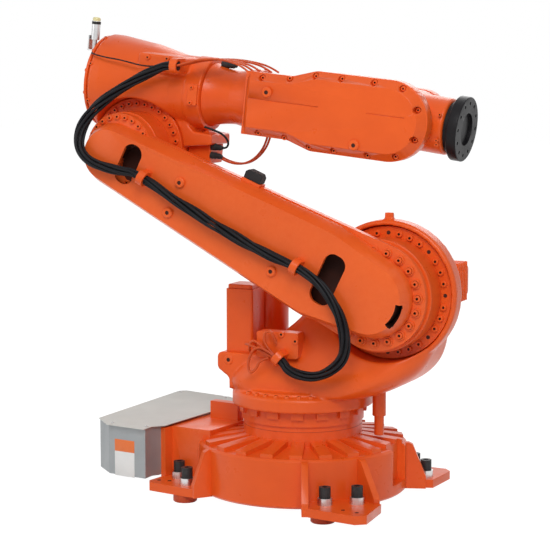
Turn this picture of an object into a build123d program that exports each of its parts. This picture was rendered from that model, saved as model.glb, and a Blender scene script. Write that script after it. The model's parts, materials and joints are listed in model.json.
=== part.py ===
from build123d import *
from math import asin, cos, degrees, hypot, radians, sin, tan
import os

# Six-axis floor arm, in millimetres: +X ahead of the base, +Y to its left, +Z up.
# The origin is on the swivel axis at floor level, and the arm is folded in its transport pose.

# Counts and turns
full_turn = 360

# Reach of the arm, from axis to axis
shoulder_offset = 320
shoulder_height = 680
arm_length = 975
forearm_rise = 200
wrist_reach = 887
flange_reach = 200

# Transport pose
swivel_angle = 8
lean_angle = -64
fold_angle = 70
bend_angle = 2

# Clearances
touch_gap = 0.3
running_gap = 3
overrun = 5

# Base casting
drum_radius = 335
drum_floor = 24
drum_height = 154
drum_edge = 7
crown_rise = 12
neck_radius = 191
neck_rise = 63
drum_top = drum_floor + drum_height
crown_height = drum_top + crown_rise
neck_top = crown_height + neck_rise
rib_count = 22
rib_width = 40
rib_end = 324
rib_crest_rise = 18
rib_end_rise = 13
rib_crest = crown_height + rib_crest_rise
rib_end_height = drum_top + rib_end_rise
rib_start_angle = -95
recess_width = 112
recess_depth = 30
recess_floor = 62
recess_angle = 9

# Feet
foot_thickness = 27
foot_top = drum_floor + foot_thickness
near_foot_shares = [(0.54, 0.84), (0.69, 1.07), (1.21, 1.09), (1.29, 1.01), (1.19, 0.57), (0.89, 0.45)]
far_foot_shares = [(0.54, 0.84), (0.66, 1.05), (1.0, 1.07), (1.08, 1.0), (1.12, 0.57), (0.89, 0.45)]
rear_foot_shares = [(0.49, 0.86), (0.6, 1.01), (1.12, 0.98), (1.17, 0.91), (1.17, 0.52), (0.89, 0.45)]
buttress_width = 21
near_buttress_overhang = 94
far_buttress_overhang = 63
rear_buttress_overhang = 58
near_buttress_reach = drum_radius + near_buttress_overhang
far_buttress_reach = drum_radius + far_buttress_overhang
rear_buttress_reach = drum_radius + rear_buttress_overhang
buttress_foot_height = foot_top + foot_thickness / 2
buttress_step = 20
buttress_spread_angle = 15.5
front_foot_angle = 42
rear_foot_angle = 136
pad_radius = 38
pad_inset_x = 79
pad_inset_y = 36
pad_x = drum_radius - pad_inset_x
pad_y = drum_radius - pad_inset_y
anchor_radius = 14
anchor_head_radius = 18
anchor_head_height = 34
hex_share = 0.7
hex_sides = 6
sleeve_radius = 23
sleeve_height = 22
near_anchor_inset_x = 79
near_anchor_inset_y = 47
far_anchor_inset_x = 3
far_anchor_inset_y = 112
near_anchor_x = drum_radius - near_anchor_inset_x
near_anchor_y = drum_radius - near_anchor_inset_y
far_anchor_x = drum_radius - far_anchor_inset_x
far_anchor_y = drum_radius - far_anchor_inset_y

# Cable entry behind the drum
plinth_back = 378
plinth_half = 195
plinth_top = 212
plinth_plate = 17
plinth_plate_half = 236
plinth_plate_floor = 45
plinth_inner_x = 230
stop_block_back = 350
stop_block_front = 242
stop_block_half = 17
stop_block_rise = 58
stop_block_top = plinth_top + stop_block_rise

# Connector box of sheet metal
box_floor = 56
box_top = 219
lid_thickness = 3
box_depth = 295
box_half = 300
box_shares = [
    (0, -0.817), (0.037, -0.893), (0.017, -1.053), (0.519, -1.04), (0.803, -0.833),
    (1, 1), (0.953, 1.04), (0.288, 0.993), (0, 0.833),
]
lid_shares = [
    (-0.073, -0.8), (0.017, -0.92), (-0.003, -1.107), (0.512, -1.09), (0.807, -0.85),
    (1.03, 0.99), (0.96, 1.05), (0.288, 0.98), (-0.017, 0.8),
]

# Swivel
lug_ring_radius = 197
lug_count = 16
lug_width = 38
lug_depth = 9
lug_height = 21
lug_start_angle = -86
ring_rise = 48
disc_radius = 227
disc_thickness = 47
disc_edge = 9
collar_inset = 21
collar_rise = 10
disc_floor = neck_top + ring_rise
disc_top = disc_floor + disc_thickness
collar_radius = disc_radius - collar_inset
collar_top = disc_top + collar_rise

# Turret body: sections from the disc to the shoulder ring, each as height, length, half width and place
body_length = 466
body_half = 168
body_rise = 280
body_shares = [(0, 1, 1, 0.07), (0.24, 1.28, 0.99, 0.225), (0.58, 1.16, 0.73, 0.42), (1, 0.97, 0.37, 0.58)]
body_corner_share = 0.62
ring_radius = 227
ring_wall = 16
ring_lip = 15
ring_back = 30
ring_floor = 56
ring_round = 11
web_radius = 186
web_back = 62
gear_ring_gap = 4
gear_ring_bore = 128
gear_ring_thickness = 17
ring_lip_radius = ring_radius - ring_wall
gear_ring_radius = ring_lip_radius - gear_ring_gap
gear_ring_face = ring_floor + gear_ring_thickness
ring_face = gear_ring_face + ring_lip
top_lug_width = 28
top_lug_height = 26
top_lug_thickness = 18

# Shoulder motor on the far side
shoulder_motor_x = 50
shoulder_motor_z = 5
shoulder_motor_width = 168
shoulder_motor_height = 120
shoulder_motor_reach = 300
shoulder_motor_corner = 26
motor_flange_thickness = 20
motor_flange_margin = 12

# Swivel motor and the bracket that holds it
bracket_reach = 244
bracket_right = -40
bracket_half = 130
bracket_corner = 16
bracket_height = 118
bracket_shares = [(1, 1), (1, 0.56), (0.83, 0.305), (0.83, 0)]
bracket_top = disc_top + bracket_height
swivel_motor_x = -176
swivel_motor_y = -61
swivel_motor_width = 94
swivel_motor_depth = 98
swivel_motor_height = 217
swivel_motor_corner = 9
swivel_cap_height = 14
gearbox_x = -146
gearbox_y = 62
gearbox_radius = 62
gearbox_height = 186
swivel_motor_top = bracket_top + swivel_motor_height

# Stop pin and lifting lug
pin_radius = 21.5
pin_tip_radius = 15.5
pin_place = 264
pin_step_drop = 26
pin_drop = 88
pin_head_rise = 28
pin_step_height = disc_floor - pin_step_drop
pin_floor = disc_floor - pin_drop
pin_head_height = disc_top + pin_head_rise
eye_radius = 13
eye_hole_radius = 6
eye_thickness = 14
eye_place = 224
eye_height = 10
eye_azimuth = 209

# Cable plate on the turret
plate_left = -86
plate_right = 56
plate_face = 168
plate_thickness = 48
plate_height = 82
plate_corner = 8
plate_back = plate_face - plate_thickness
plate_top = bracket_top + plate_height

# Lower arm
arm_inner_face = 165
arm_flange_thickness = 25
arm_step_depth = 20
arm_shell_depth = 44
arm_flange_face = arm_inner_face + arm_flange_thickness
arm_shell_step = arm_flange_face + arm_step_depth
arm_outer_face = arm_shell_step + arm_shell_depth
arm_foot_radius = 166
arm_head_radius = 101
arm_head_shift = 20
arm_head_overhang = 10
arm_taper_angle = 24
shell_foot_radius = 126
shell_mid_radius = 154
shell_mid_place = 192
shell_mid_shift = 9
elbow_flange_radius = 118
elbow_flange_thickness = 35
arm_wall = 13
cavity_foot_radius = 104
cavity_head_radius = 66
cavity_foot_place = 160
cavity_head_inset = 83
foot_window_width = 165
foot_window_length = 74
foot_window_place = 139
foot_window_shift = 9
head_window_width = 133
head_window_length = 67
head_window_inset = 73
head_window_shift = 9
window_corner = 31
arm_head_place = arm_length + arm_head_overhang
cavity_head_place = arm_length - cavity_head_inset
head_window_place = arm_length - head_window_inset
elbow_flange_face = arm_inner_face + elbow_flange_thickness
crescent_radius = 103
crescent_width = 18
crescent_angle = 44
crescent_start_angle = -115
shoulder_disc_radius = 175
elbow_disc_radius = 122

# Damper on the arm's upper edge
damper_place_share = 0.5292
damper_length = 66
damper_width = 44
damper_height = 30
damper_block_height = 12
damper_corner = 9
damper_face = 207
damper_seat = 118
damper_angle = -3
damper_place = arm_length * damper_place_share

# Plugs on the arm's outer face: place across and along the arm
plug_radius = 15
plug_rise = 7
plug_shares = [(0.026, 0.73), (-0.082, 0.727), (-0.077, 0.322)]

# Elbow housing, about the forearm's roll axis
cup_radius = 155
cup_back = 171
cup_edge = 12
cup_front = 128
saddle_front = 8
saddle_radius = 139
throat_place = 112
throat_radius = 116
collar_back = 168
collar_front = 224
collar_rim = 119
hub_radius = 167
hub_face = 79
hub_back = 66
rear_cover_radius = 149
rear_cover_thickness = 9
elbow_gear_inset = 4
elbow_gear_bore = 96
elbow_gear_thickness = 12
elbow_gear_radius = hub_radius - elbow_gear_inset
deck_front = 170
deck_floor = 262
deck_height = 52
deck_top = deck_floor + deck_height
deck_face = 125
deck_back = 40
deck_corner = 10
leg_face = 74
leg_half_back = 66
leg_round = 7
leg_shares = [
    (0.3, 0.5), (0.335, 1.02), (0.832, 1.11), (1.04, 0.97), (1.0, 0.75), (0.94, 0.68), (1.16, 0.47),
    (1.557, 0.46), (1.575, 0.26), (0.92, 0.15), (0.74, 0.19), (0.69, 0.36), (0.617, 0.58),
]
side_plate_width = 34
side_plate_height = 66
side_plate_place = 204
side_plate_face = 126
side_plate_depth = 60
side_plate_corner = 5

# Motors on the elbow housing
leg_motor_width = 82
leg_motor_depth = 96
leg_motor_place = 209
leg_motor_floor = -20
leg_motor_top = 60
elbow_motor_radius = 74
elbow_motor_reach = 262
elbow_motor_shift = 18
roll_motor_width = 92
roll_motor_length = 112
roll_motor_place = -86
roll_motor_y = 92
roll_motor_top = 326
roll_motor_corner = 22

# Forearm
neck_gap = 0.3
neck_root_radius = 104
neck_waist_radius = 86
neck_flare_radius = 97
neck_length = 174
waist_start_share = 0.22
waist_end_share = 0.54
flare_share = 0.85
slim_half = 99
deep_half = 124
far_slim_half = 82
far_deep_half = 92
slim_share = 0.323
deep_share = 0.487
body_half_width = 128
ear_thickness = 22
fork_radius = 233
cover_rim_depth = 20
cover_crown = 29
cover_inset = 15
forearm_back = collar_front + neck_length
neck_waist_place = collar_front + neck_length * waist_start_share
neck_waist_end = collar_front + neck_length * waist_end_share
neck_flare_place = collar_front + neck_length * flare_share
slim_end = forearm_back + (wrist_reach - forearm_back) * slim_share
deep_start = forearm_back + (wrist_reach - forearm_back) * deep_share
ear_inner = body_half_width - ear_thickness
cover_rim = body_half_width + cover_rim_depth
cover_face = cover_rim + cover_crown
cover_taper_angle = 24
outline_round = 60
fork_plug_shares = [(0.551, 0.047), (0.896, -0.095)]

# Wrist
wrist_drum_radius = 91
wrist_drum_half = ear_inner - running_gap
wrist_neck_radius = 88
wrist_boss_radius = 62
wrist_edge = 6
flange_length = 50
flange_back = flange_reach - flange_length
flange_hub_radius = 78
flange_thickness = 32
flange_radius = 100
flange_edge = 2
flange_recess_radius = 50
flange_recess_depth = 10
flange_bolt_circle = 80
flange_bolt_count = 12
flange_hole_radius = 5.1
flange_hole_depth = 20

# Hoses: the bundle, the clamps that hold it, and its route in each link
bundle_radius = 15
bend_share = 0.45
clamp_wall = 9
clamp_length = 24
clamp_lead = 30
arm_clamp_stand = 26
arm_clamp_shift = 17
foot_clamp_place = 241
head_clamp_inset = 149
turret_clamp_x = 1
turret_clamp_rise = 5
turret_clamp_stand = 26
turret_clamp_angle = 40
deck_clamp_x = 158
deck_clamp_stand = 43
head_clamp_place = arm_length - head_clamp_inset
turret_clamp_z = bracket_top + turret_clamp_rise
deck_clamp_z = (deck_floor + deck_top) / 2
arm_route = [(-26, -281, 330), (-31, -282, 452), (-30, -281, 590), (-24, -281, 720)]
shoulder_route = [
    (32, -200, 440), (72, -207, 424), (124, -216, 421), (174, -227, 437), (216, -240, 464),
    (243, -251, 498), (256, -265, 535), (257, -276, 583), (238, -281, 642),
    (205, -281, 692), (172, -280, 725),
]
elbow_route = [
    (98, -176, 270), (60, -186, 247), (12, -200, 214), (-34, -214, 177), (-78, -227, 134), (-107, -242, 88),
    (-118, -257, 43), (-110, -270, 2), (-82, -278, -27), (-42, -281, -44), (12, -281, -52), (68, -281, -55),
]

# Lamp on a bent bracket behind the elbow housing
lamp_radius = 14
lamp_length = 62
lamp_stem_radius = 7
lamp_stem_length = 32
lens_radius = 13
lens_length = 12
lamp_gap = 14
lamp_y = -70
lamp_bracket_width = 24
lamp_bracket_height = 97
lamp_bracket_reach = 34
lamp_bracket_rise = 50
lamp_bracket_thickness = 4

# Thin cables from the housing to the forearm
cable_radius = 3.5
cable_spread = 11
cable_lead = 14
cable_fan_angle = 27
top_cable_count = 3
top_cable_route = [
    (200, -146, 306), (232, -118, 319), (270, -92, 325), (312, -70, 323), (352, -53, 316),
    (388, -42, 305), (418, -36, 288),
]
low_cable_count = 2
low_cable_start_y = -29
low_cable_start_z = 14
low_cable_route = [
    (275, -31, 3), (305, -34, -6), (342, -40, -9), (380, -48, -1), (413, -56, 20), (438, -62, 50),
    (452, -66, 82), (458, -68, 112),
]


def tilted(link, point, angle):
    turn = radians(angle)
    return Plane(
        origin=link.from_local_coords(point),
        x_dir=link.x_dir * cos(turn) - link.z_dir * sin(turn),
        z_dir=link.x_dir * sin(turn) + link.z_dir * cos(turn),
    )


base = Plane.XY
turret = Plane.XY.rotated((0, 0, swivel_angle))
arm = tilted(turret, (shoulder_offset, 0, shoulder_height), lean_angle)
elbow = tilted(arm, (0, 0, arm_length), fold_angle)
forearm = tilted(elbow, (0, 0, forearm_rise), 0)
wrist = tilted(forearm, (wrist_reach, 0, 0), bend_angle)
hip = Plane(origin=arm.origin, x_dir=turret.x_dir, z_dir=turret.z_dir)


# Drawn along a link's x and z, facing its cable side, which is at -y
def side(link, y):
    return Plane(origin=link.from_local_coords((0, y, 0)), x_dir=link.x_dir, z_dir=-link.y_dir)


# Drawn along a link's y and z, facing along its x
def front(link, x):
    return Plane(origin=link.from_local_coords((x, 0, 0)), x_dir=link.y_dir, z_dir=link.x_dir)


# Drawn along a link's x and y, facing along its z
def level(link, z):
    return Plane(origin=link.from_local_coords((0, 0, z)), x_dir=link.x_dir, z_dir=link.z_dir)


def scaled(shares, size):
    return [(size * u, size * v) for u, v in shares]


def finish(piece, name):
    piece.label = name
    export_step(piece, f"parts/{name}.step")


os.makedirs("parts", exist_ok=True)


# Base casting: drum, sloping crown with ribs, and neck
with BuildPart() as rib:
    with BuildSketch(Plane.XZ):
        with BuildLine():
            Polyline(
                (neck_radius - rib_width, drum_floor + drum_edge),
                (rib_end, drum_floor + drum_edge),
                (rib_end, rib_end_height),
                (neck_radius, rib_crest),
                (neck_radius - rib_width, rib_crest),
                close=True,
            )
        make_face()
    extrude(amount=rib_width / 2, both=True)

with BuildPart() as base_casting:
    with BuildSketch(Plane.XZ):
        with BuildLine():
            Polyline(
                (0, drum_floor),
                (drum_radius - drum_edge, drum_floor),
                (drum_radius, drum_floor + drum_edge),
                (drum_radius, drum_top - drum_edge),
                (drum_radius - drum_edge, drum_top),
                (neck_radius, crown_height),
                (neck_radius, neck_top),
                (0, neck_top),
                close=True,
            )
        make_face()
    revolve(axis=Axis.Z)
    with PolarLocations(0, rib_count, start_angle=rib_start_angle):
        add(rib.part)
    with BuildSketch(Plane.XY.offset(recess_floor).rotated((0, 0, recess_angle))):
        with Locations((drum_radius, 0)):
            Rectangle(recess_depth * 2, recess_width)
    extrude(amount=drum_top, mode=Mode.SUBTRACT)
    for foot_shares, foot_angle, reach, facing, hand in (
        (near_foot_shares, front_foot_angle, near_buttress_reach, 1, -1),
        (far_foot_shares, front_foot_angle, far_buttress_reach, 1, 1),
        (rear_foot_shares, rear_foot_angle, rear_buttress_reach, -1, -1),
        (rear_foot_shares, rear_foot_angle, rear_buttress_reach, -1, 1),
    ):
        with BuildSketch(Plane.XY.offset(drum_floor)):
            with BuildLine():
                Polyline(*[(facing * x, hand * y) for x, y in scaled(foot_shares, drum_radius)], close=True)
            make_face()
        extrude(amount=foot_top - drum_floor)
        for spread in (-buttress_spread_angle, buttress_spread_angle):
            with BuildSketch(side(base.rotated((0, 0, hand * (foot_angle + spread))), 0)):
                with BuildLine():
                    Polyline(
                        (neck_radius, drum_floor),
                        (reach, drum_floor),
                        (reach, buttress_foot_height),
                        (drum_radius + buttress_step, drum_top - buttress_step / 2),
                        (drum_radius + drum_edge, drum_top - drum_edge / 2),
                        (neck_radius, drum_top - drum_edge / 2),
                        close=True,
                    )
                make_face()
            extrude(amount=buttress_width / 2, both=True)
    with BuildSketch(Plane.XY.offset(foot_top)):
        for x, y in ((near_anchor_x, near_anchor_y), (far_anchor_x, far_anchor_y)):
            with GridLocations(2 * x, 2 * y, 2, 2):
                Circle(anchor_radius + running_gap)
    extrude(amount=drum_floor - foot_top, mode=Mode.SUBTRACT)
    with BuildSketch(Plane.XY.offset(drum_floor)):
        with Locations((-(plinth_back + plinth_inner_x) / 2, 0)):
            Rectangle(plinth_back - plinth_inner_x, 2 * plinth_half)
    extrude(amount=plinth_top - drum_floor)
    with BuildSketch(Plane.XY.offset(plinth_plate_floor)):
        with Locations((-plinth_back - plinth_plate / 2, 0)):
            Rectangle(plinth_plate, 2 * plinth_plate_half)
    extrude(amount=plinth_top - plinth_plate_floor)
    with BuildSketch(Plane.XY.offset(plinth_top - drum_edge)):
        with Locations((-(stop_block_back + stop_block_front) / 2, 0)):
            Rectangle(stop_block_back - stop_block_front, 2 * stop_block_half)
    extrude(amount=stop_block_top - plinth_top + drum_edge)
finish(base_casting.part, "base_casting")

with BuildPart() as foot_pads:
    with BuildSketch(Plane.XY):
        with GridLocations(2 * pad_x, 2 * pad_y, 2, 2):
            Circle(pad_radius)
    extrude(amount=drum_floor)
    chamfer(foot_pads.faces().group_by(Axis.Z)[0].edges(), length=running_gap)
finish(foot_pads.part, "foot_pads")

anchor_places = [
    (facing * x, hand * y)
    for x, y in ((near_anchor_x, near_anchor_y), (far_anchor_x, far_anchor_y))
    for facing in (1, -1)
    for hand in (1, -1)
]

with BuildPart() as anchor_sleeves:
    with BuildSketch(Plane.XY.offset(foot_top)):
        with Locations(*anchor_places):
            Circle(sleeve_radius)
            Circle(anchor_radius + touch_gap, mode=Mode.SUBTRACT)
    extrude(amount=sleeve_height)
finish(anchor_sleeves.part, "anchor_sleeves")

with BuildPart() as anchor_bolts:
    with BuildSketch(Plane.XY.offset(drum_floor)):
        with Locations(*anchor_places):
            Circle(anchor_radius)
    extrude(amount=foot_top + sleeve_height - drum_floor)
    with BuildSketch(Plane.XY.offset(foot_top + sleeve_height)):
        with Locations(*anchor_places):
            Circle(anchor_head_radius)
    extrude(amount=anchor_head_height)
    with BuildSketch(Plane.XY.offset(foot_top + sleeve_height + anchor_head_height)):
        with Locations(*anchor_places):
            RegularPolygon(anchor_radius * hex_share, hex_sides)
    extrude(amount=-anchor_head_height / 2, mode=Mode.SUBTRACT)
finish(anchor_bolts.part, "anchor_bolts")

# Connector box of sheet metal behind the cable entry
box_front = plinth_back + plinth_plate
with BuildPart() as connector_box:
    with BuildSketch(Plane.XY.offset(box_floor)):
        with BuildLine():
            Polyline(*[(-box_front - box_depth * u, box_half * v) for u, v in box_shares], close=True)
        make_face()
    extrude(amount=box_top - box_floor)
finish(connector_box.part, "connector_box")

with BuildPart() as box_lid:
    with BuildSketch(Plane.XY.offset(box_top)):
        with BuildLine():
            Polyline(*[(-box_front - box_depth * u, box_half * v) for u, v in lid_shares], close=True)
        make_face()
    extrude(amount=lid_thickness)
finish(box_lid.part, "box_lid")

# Ring with stop lugs on top of the neck
with BuildPart() as lug_ring:
    with BuildSketch(Plane.XY.offset(neck_top)):
        Circle(lug_ring_radius)
        Circle(neck_radius / 2, mode=Mode.SUBTRACT)
    extrude(amount=disc_floor - touch_gap - neck_top)
    with BuildSketch(Plane.XY.offset(disc_floor - running_gap - lug_height)):
        with PolarLocations(lug_ring_radius, lug_count, start_angle=lug_start_angle):
            Rectangle(2 * lug_depth, lug_width)
    extrude(amount=lug_height)
finish(lug_ring.part, "lug_ring")

# Turret: disc, collar, body, shoulder ring and the bracket behind them
with BuildPart() as shoulder_ring:
    with BuildSketch(side(hip, -ring_back)):
        Circle(ring_radius)
    extrude(amount=ring_face - ring_back)
    ring_edges = shoulder_ring.edges().filter_by(GeomType.CIRCLE)
    ring_rim = ring_edges.sort_by_distance(hip.from_local_coords((ring_radius, -ring_face, 0)))[0]
    fillet(ring_rim, radius=ring_round)

with BuildPart() as turret_casting:
    with BuildSketch(side(turret, 0)):
        with BuildLine():
            Polyline(
                (0, disc_floor),
                (disc_radius, disc_floor),
                (disc_radius, disc_top - disc_edge),
                (disc_radius - disc_edge, disc_top),
                (collar_radius, disc_top),
                (collar_radius, collar_top),
                (0, collar_top),
                close=True,
            )
        make_face()
    revolve(axis=Axis.Z)
    for height_share, length_share, half_share, place_share in body_shares:
        with BuildSketch(level(turret, disc_top + body_rise * height_share)):
            with Locations((body_length * place_share, 0)):
                half_width = body_half * half_share
                RectangleRounded(body_length * length_share, 2 * half_width, half_width * body_corner_share)
    loft()
    add(shoulder_ring.part)
    with BuildSketch(side(hip, web_back)):
        Circle(web_radius)
    extrude(amount=web_back + ring_back)
    with BuildSketch(side(hip, -ring_floor)):
        Circle(ring_lip_radius)
    extrude(amount=arm_outer_face, mode=Mode.SUBTRACT)
    with BuildSketch(side(turret, bracket_half)):
        with BuildLine():
            FilletPolyline(
                (bracket_right, bracket_top),
                *[(-bracket_reach * u, disc_top + bracket_height * v) for u, v in bracket_shares],
                (bracket_right, disc_top),
                radius=bracket_corner,
                close=True,
            )
        make_face()
    extrude(amount=2 * bracket_half)
    with BuildSketch(side(hip, -ring_floor)):
        with Locations((0, ring_radius + top_lug_height / 3)):
            Rectangle(top_lug_width, top_lug_height)
    extrude(amount=top_lug_thickness)
    with BuildSketch(level(turret, disc_top - overrun)):
        with Locations((pin_place, 0)):
            Circle(pin_radius + touch_gap)
    extrude(amount=pin_head_height - disc_top + overrun + touch_gap, mode=Mode.SUBTRACT)
finish(turret_casting.part, "turret_casting")

with BuildPart() as stop_pin:
    with BuildSketch(level(turret, pin_step_height)):
        with Locations((pin_place, 0)):
            Circle(pin_radius)
    extrude(amount=pin_head_height - pin_step_height)
    with BuildSketch(level(turret, pin_floor)):
        with Locations((pin_place, 0)):
            Circle(pin_tip_radius)
    extrude(amount=pin_step_height - pin_floor)
finish(stop_pin.part, "stop_pin")

eye_link = turret.rotated((0, 0, eye_azimuth))
with BuildPart() as lifting_eye:
    with BuildSketch(side(eye_link, eye_thickness / 2)):
        with Locations((eye_place, disc_top + eye_height)):
            Circle(eye_radius)
        with Locations((eye_place, disc_top + eye_height / 2)):
            Rectangle(2 * eye_radius, eye_height)
        with Locations((eye_place, disc_top + eye_height)):
            Circle(eye_hole_radius, mode=Mode.SUBTRACT)
    extrude(amount=eye_thickness)
    add(turret_casting.part, mode=Mode.SUBTRACT)
finish(lifting_eye.part, "lifting_eye")

with BuildPart() as shoulder_gear_ring:
    with BuildSketch(side(hip, -ring_floor)):
        Circle(gear_ring_radius)
        Circle(gear_ring_bore, mode=Mode.SUBTRACT)
    extrude(amount=gear_ring_face - ring_floor)
finish(shoulder_gear_ring.part, "shoulder_gear_ring")

with BuildPart() as shoulder_motor:
    with BuildSketch(side(hip, web_back + motor_flange_thickness)):
        with Locations((shoulder_motor_x, shoulder_motor_z)):
            RectangleRounded(
                shoulder_motor_width + 2 * motor_flange_margin,
                shoulder_motor_height + 2 * motor_flange_margin,
                shoulder_motor_corner + motor_flange_margin,
            )
    extrude(amount=motor_flange_thickness)
    with BuildSketch(side(hip, shoulder_motor_reach)):
        with Locations((shoulder_motor_x, shoulder_motor_z)):
            RectangleRounded(shoulder_motor_width, shoulder_motor_height, shoulder_motor_corner)
    extrude(amount=shoulder_motor_reach - web_back - motor_flange_thickness)
    add(turret_casting.part, mode=Mode.SUBTRACT)
finish(shoulder_motor.part, "shoulder_motor")

with BuildPart() as swivel_motor:
    with BuildSketch(level(turret, bracket_top)):
        with Locations((swivel_motor_x, swivel_motor_y)):
            RectangleRounded(swivel_motor_width, swivel_motor_depth, swivel_motor_corner)
    extrude(amount=swivel_motor_top - swivel_cap_height - bracket_top)
    add(turret_casting.part, mode=Mode.SUBTRACT)
finish(swivel_motor.part, "swivel_motor")

with BuildPart() as swivel_motor_cap:
    with BuildSketch(level(turret, swivel_motor_top - swivel_cap_height)):
        with Locations((swivel_motor_x, swivel_motor_y)):
            RectangleRounded(
                swivel_motor_width - swivel_motor_corner,
                swivel_motor_depth - swivel_motor_corner,
                swivel_motor_corner,
            )
    extrude(amount=swivel_cap_height)
    chamfer(swivel_motor_cap.faces().sort_by(Axis.Z)[-1].edges(), length=running_gap)
finish(swivel_motor_cap.part, "swivel_motor_cap")

with BuildPart() as swivel_gearbox:
    with BuildSketch(level(turret, bracket_top)):
        with Locations((gearbox_x, gearbox_y)):
            Circle(gearbox_radius)
    extrude(amount=gearbox_height)
    chamfer(swivel_gearbox.faces().sort_by(Axis.Z)[-1].edges(), length=running_gap)
    add(turret_casting.part, mode=Mode.SUBTRACT)
finish(swivel_gearbox.part, "swivel_gearbox")

with BuildPart() as cable_plate:
    with BuildSketch(side(turret, -plate_back)):
        with Locations(((plate_left + plate_right) / 2, (bracket_top + plate_top) / 2)):
            RectangleRounded(plate_right - plate_left, plate_top - bracket_top, plate_corner)
    extrude(amount=plate_face - plate_back)
    add(turret_casting.part, mode=Mode.SUBTRACT)
finish(cable_plate.part, "cable_plate")


# The hull of round ends, each as radius, place along the arm and shift toward -x
def hull_of(*rounds):
    with BuildSketch() as outline:
        with BuildLine():
            for radius, place, shift in rounds:
                CenterArc((-shift, place), radius, 0, full_turn)
        make_hull()
    return outline.sketch


arm_foot = (arm_foot_radius, 0, 0)
arm_head = (arm_head_radius, arm_head_place, arm_head_shift)
shell_foot = (shell_foot_radius, 0, 0)
shell_middle = (shell_mid_radius, shell_mid_place, shell_mid_shift)
cavity_foot = (cavity_foot_radius, cavity_foot_place, shell_mid_shift)
cavity_head = (cavity_head_radius, cavity_head_place, arm_head_shift)


def shell_outline(plane):
    with BuildSketch(plane) as outline:
        add(hull_of(shell_foot, shell_middle))
        add(hull_of(shell_middle, arm_head))
    return outline.sketch


# Lower arm: bolted flange, hollow tapered shell, and windows into it
with BuildPart() as lower_arm:
    with BuildSketch(side(arm, -arm_inner_face)):
        add(hull_of(arm_foot, arm_head))
    extrude(amount=arm_flange_face - arm_inner_face)
    with BuildSketch(side(arm, -arm_inner_face)):
        with Locations((0, arm_length)):
            Circle(elbow_flange_radius)
    extrude(amount=elbow_flange_face - arm_inner_face)
    extrude(shell_outline(side(arm, -arm_flange_face)), amount=arm_shell_step - arm_flange_face)
    extrude(
        shell_outline(side(arm, -arm_shell_step)),
        amount=arm_outer_face - arm_shell_step,
        taper=arm_taper_angle,
    )
    with BuildSketch(side(arm, -arm_inner_face - arm_wall)):
        add(hull_of(cavity_foot, cavity_head))
    extrude(amount=arm_outer_face - arm_inner_face - 2 * arm_wall, mode=Mode.SUBTRACT)
    with BuildSketch(side(arm, -arm_shell_step)):
        with Locations((-foot_window_shift, foot_window_place)):
            RectangleRounded(foot_window_width, foot_window_length, window_corner)
        with Locations((-head_window_shift, head_window_place)):
            RectangleRounded(head_window_width, head_window_length, window_corner)
    extrude(amount=arm_outer_face, mode=Mode.SUBTRACT)
    with BuildSketch(side(arm, -arm_flange_face)):
        crescent_arc = (crescent_start_angle, crescent_angle)
        with BuildLine():
            outer = CenterArc((0, 0), crescent_radius + crescent_width / 2, *crescent_arc)
            inner = CenterArc((0, 0), crescent_radius - crescent_width / 2, *crescent_arc)
            Line(outer @ 0, inner @ 0)
            Line(outer @ 1, inner @ 1)
        make_face()
    extrude(amount=arm_outer_face - arm_flange_face, mode=Mode.SUBTRACT)
finish(lower_arm.part, "lower_arm")

# Output discs that carry the arm at the shoulder and hold the elbow
with BuildPart() as shoulder_disc:
    with BuildSketch(side(arm, -gear_ring_face - touch_gap)):
        Circle(shoulder_disc_radius)
    extrude(amount=arm_inner_face - gear_ring_face - touch_gap)
finish(shoulder_disc.part, "shoulder_disc")

with BuildPart() as elbow_disc:
    with BuildSketch(side(elbow, -hub_face - touch_gap)):
        Circle(elbow_disc_radius)
    extrude(amount=arm_inner_face - hub_face - touch_gap)
finish(elbow_disc.part, "elbow_disc")

# Rubber stop block on the arm's upper edge
damper_plane = tilted(arm, (damper_seat, 0, damper_place), damper_angle)
with BuildPart() as damper_base:
    with BuildSketch(side(damper_plane, -damper_face + damper_width)):
        with Locations((0, 0)):
            Rectangle(2 * damper_block_height, damper_length)
    extrude(amount=damper_width)
    add(lower_arm.part, mode=Mode.SUBTRACT)
finish(damper_base.part, "damper_base")

with BuildPart() as damper:
    with BuildSketch(side(damper_plane, -damper_face + damper_width - running_gap)):
        with Locations((damper_block_height + damper_height / 2, 0)):
            Rectangle(damper_height, damper_length - 2 * running_gap)
    extrude(amount=damper_width - 2 * running_gap)
    damper_edges = damper.edges().filter_by(Axis(arm.origin, arm.y_dir))
    chamfer(damper_edges.sort_by(Axis(arm.origin, arm.x_dir))[-2:], length=damper_corner)
finish(damper.part, "damper")

with BuildPart() as arm_plugs:
    with BuildSketch(side(arm, -arm_outer_face)):
        with Locations(*scaled(plug_shares, arm_length)):
            Circle(plug_radius)
    extrude(amount=plug_rise)
    plug_faces = arm_plugs.faces().filter_by(Axis(arm.origin, arm.y_dir))
    chamfer(plug_faces.group_by(Axis(arm.origin, arm.y_dir))[0].edges(), length=running_gap / 2)
finish(arm_plugs.part, "arm_plugs")

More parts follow.
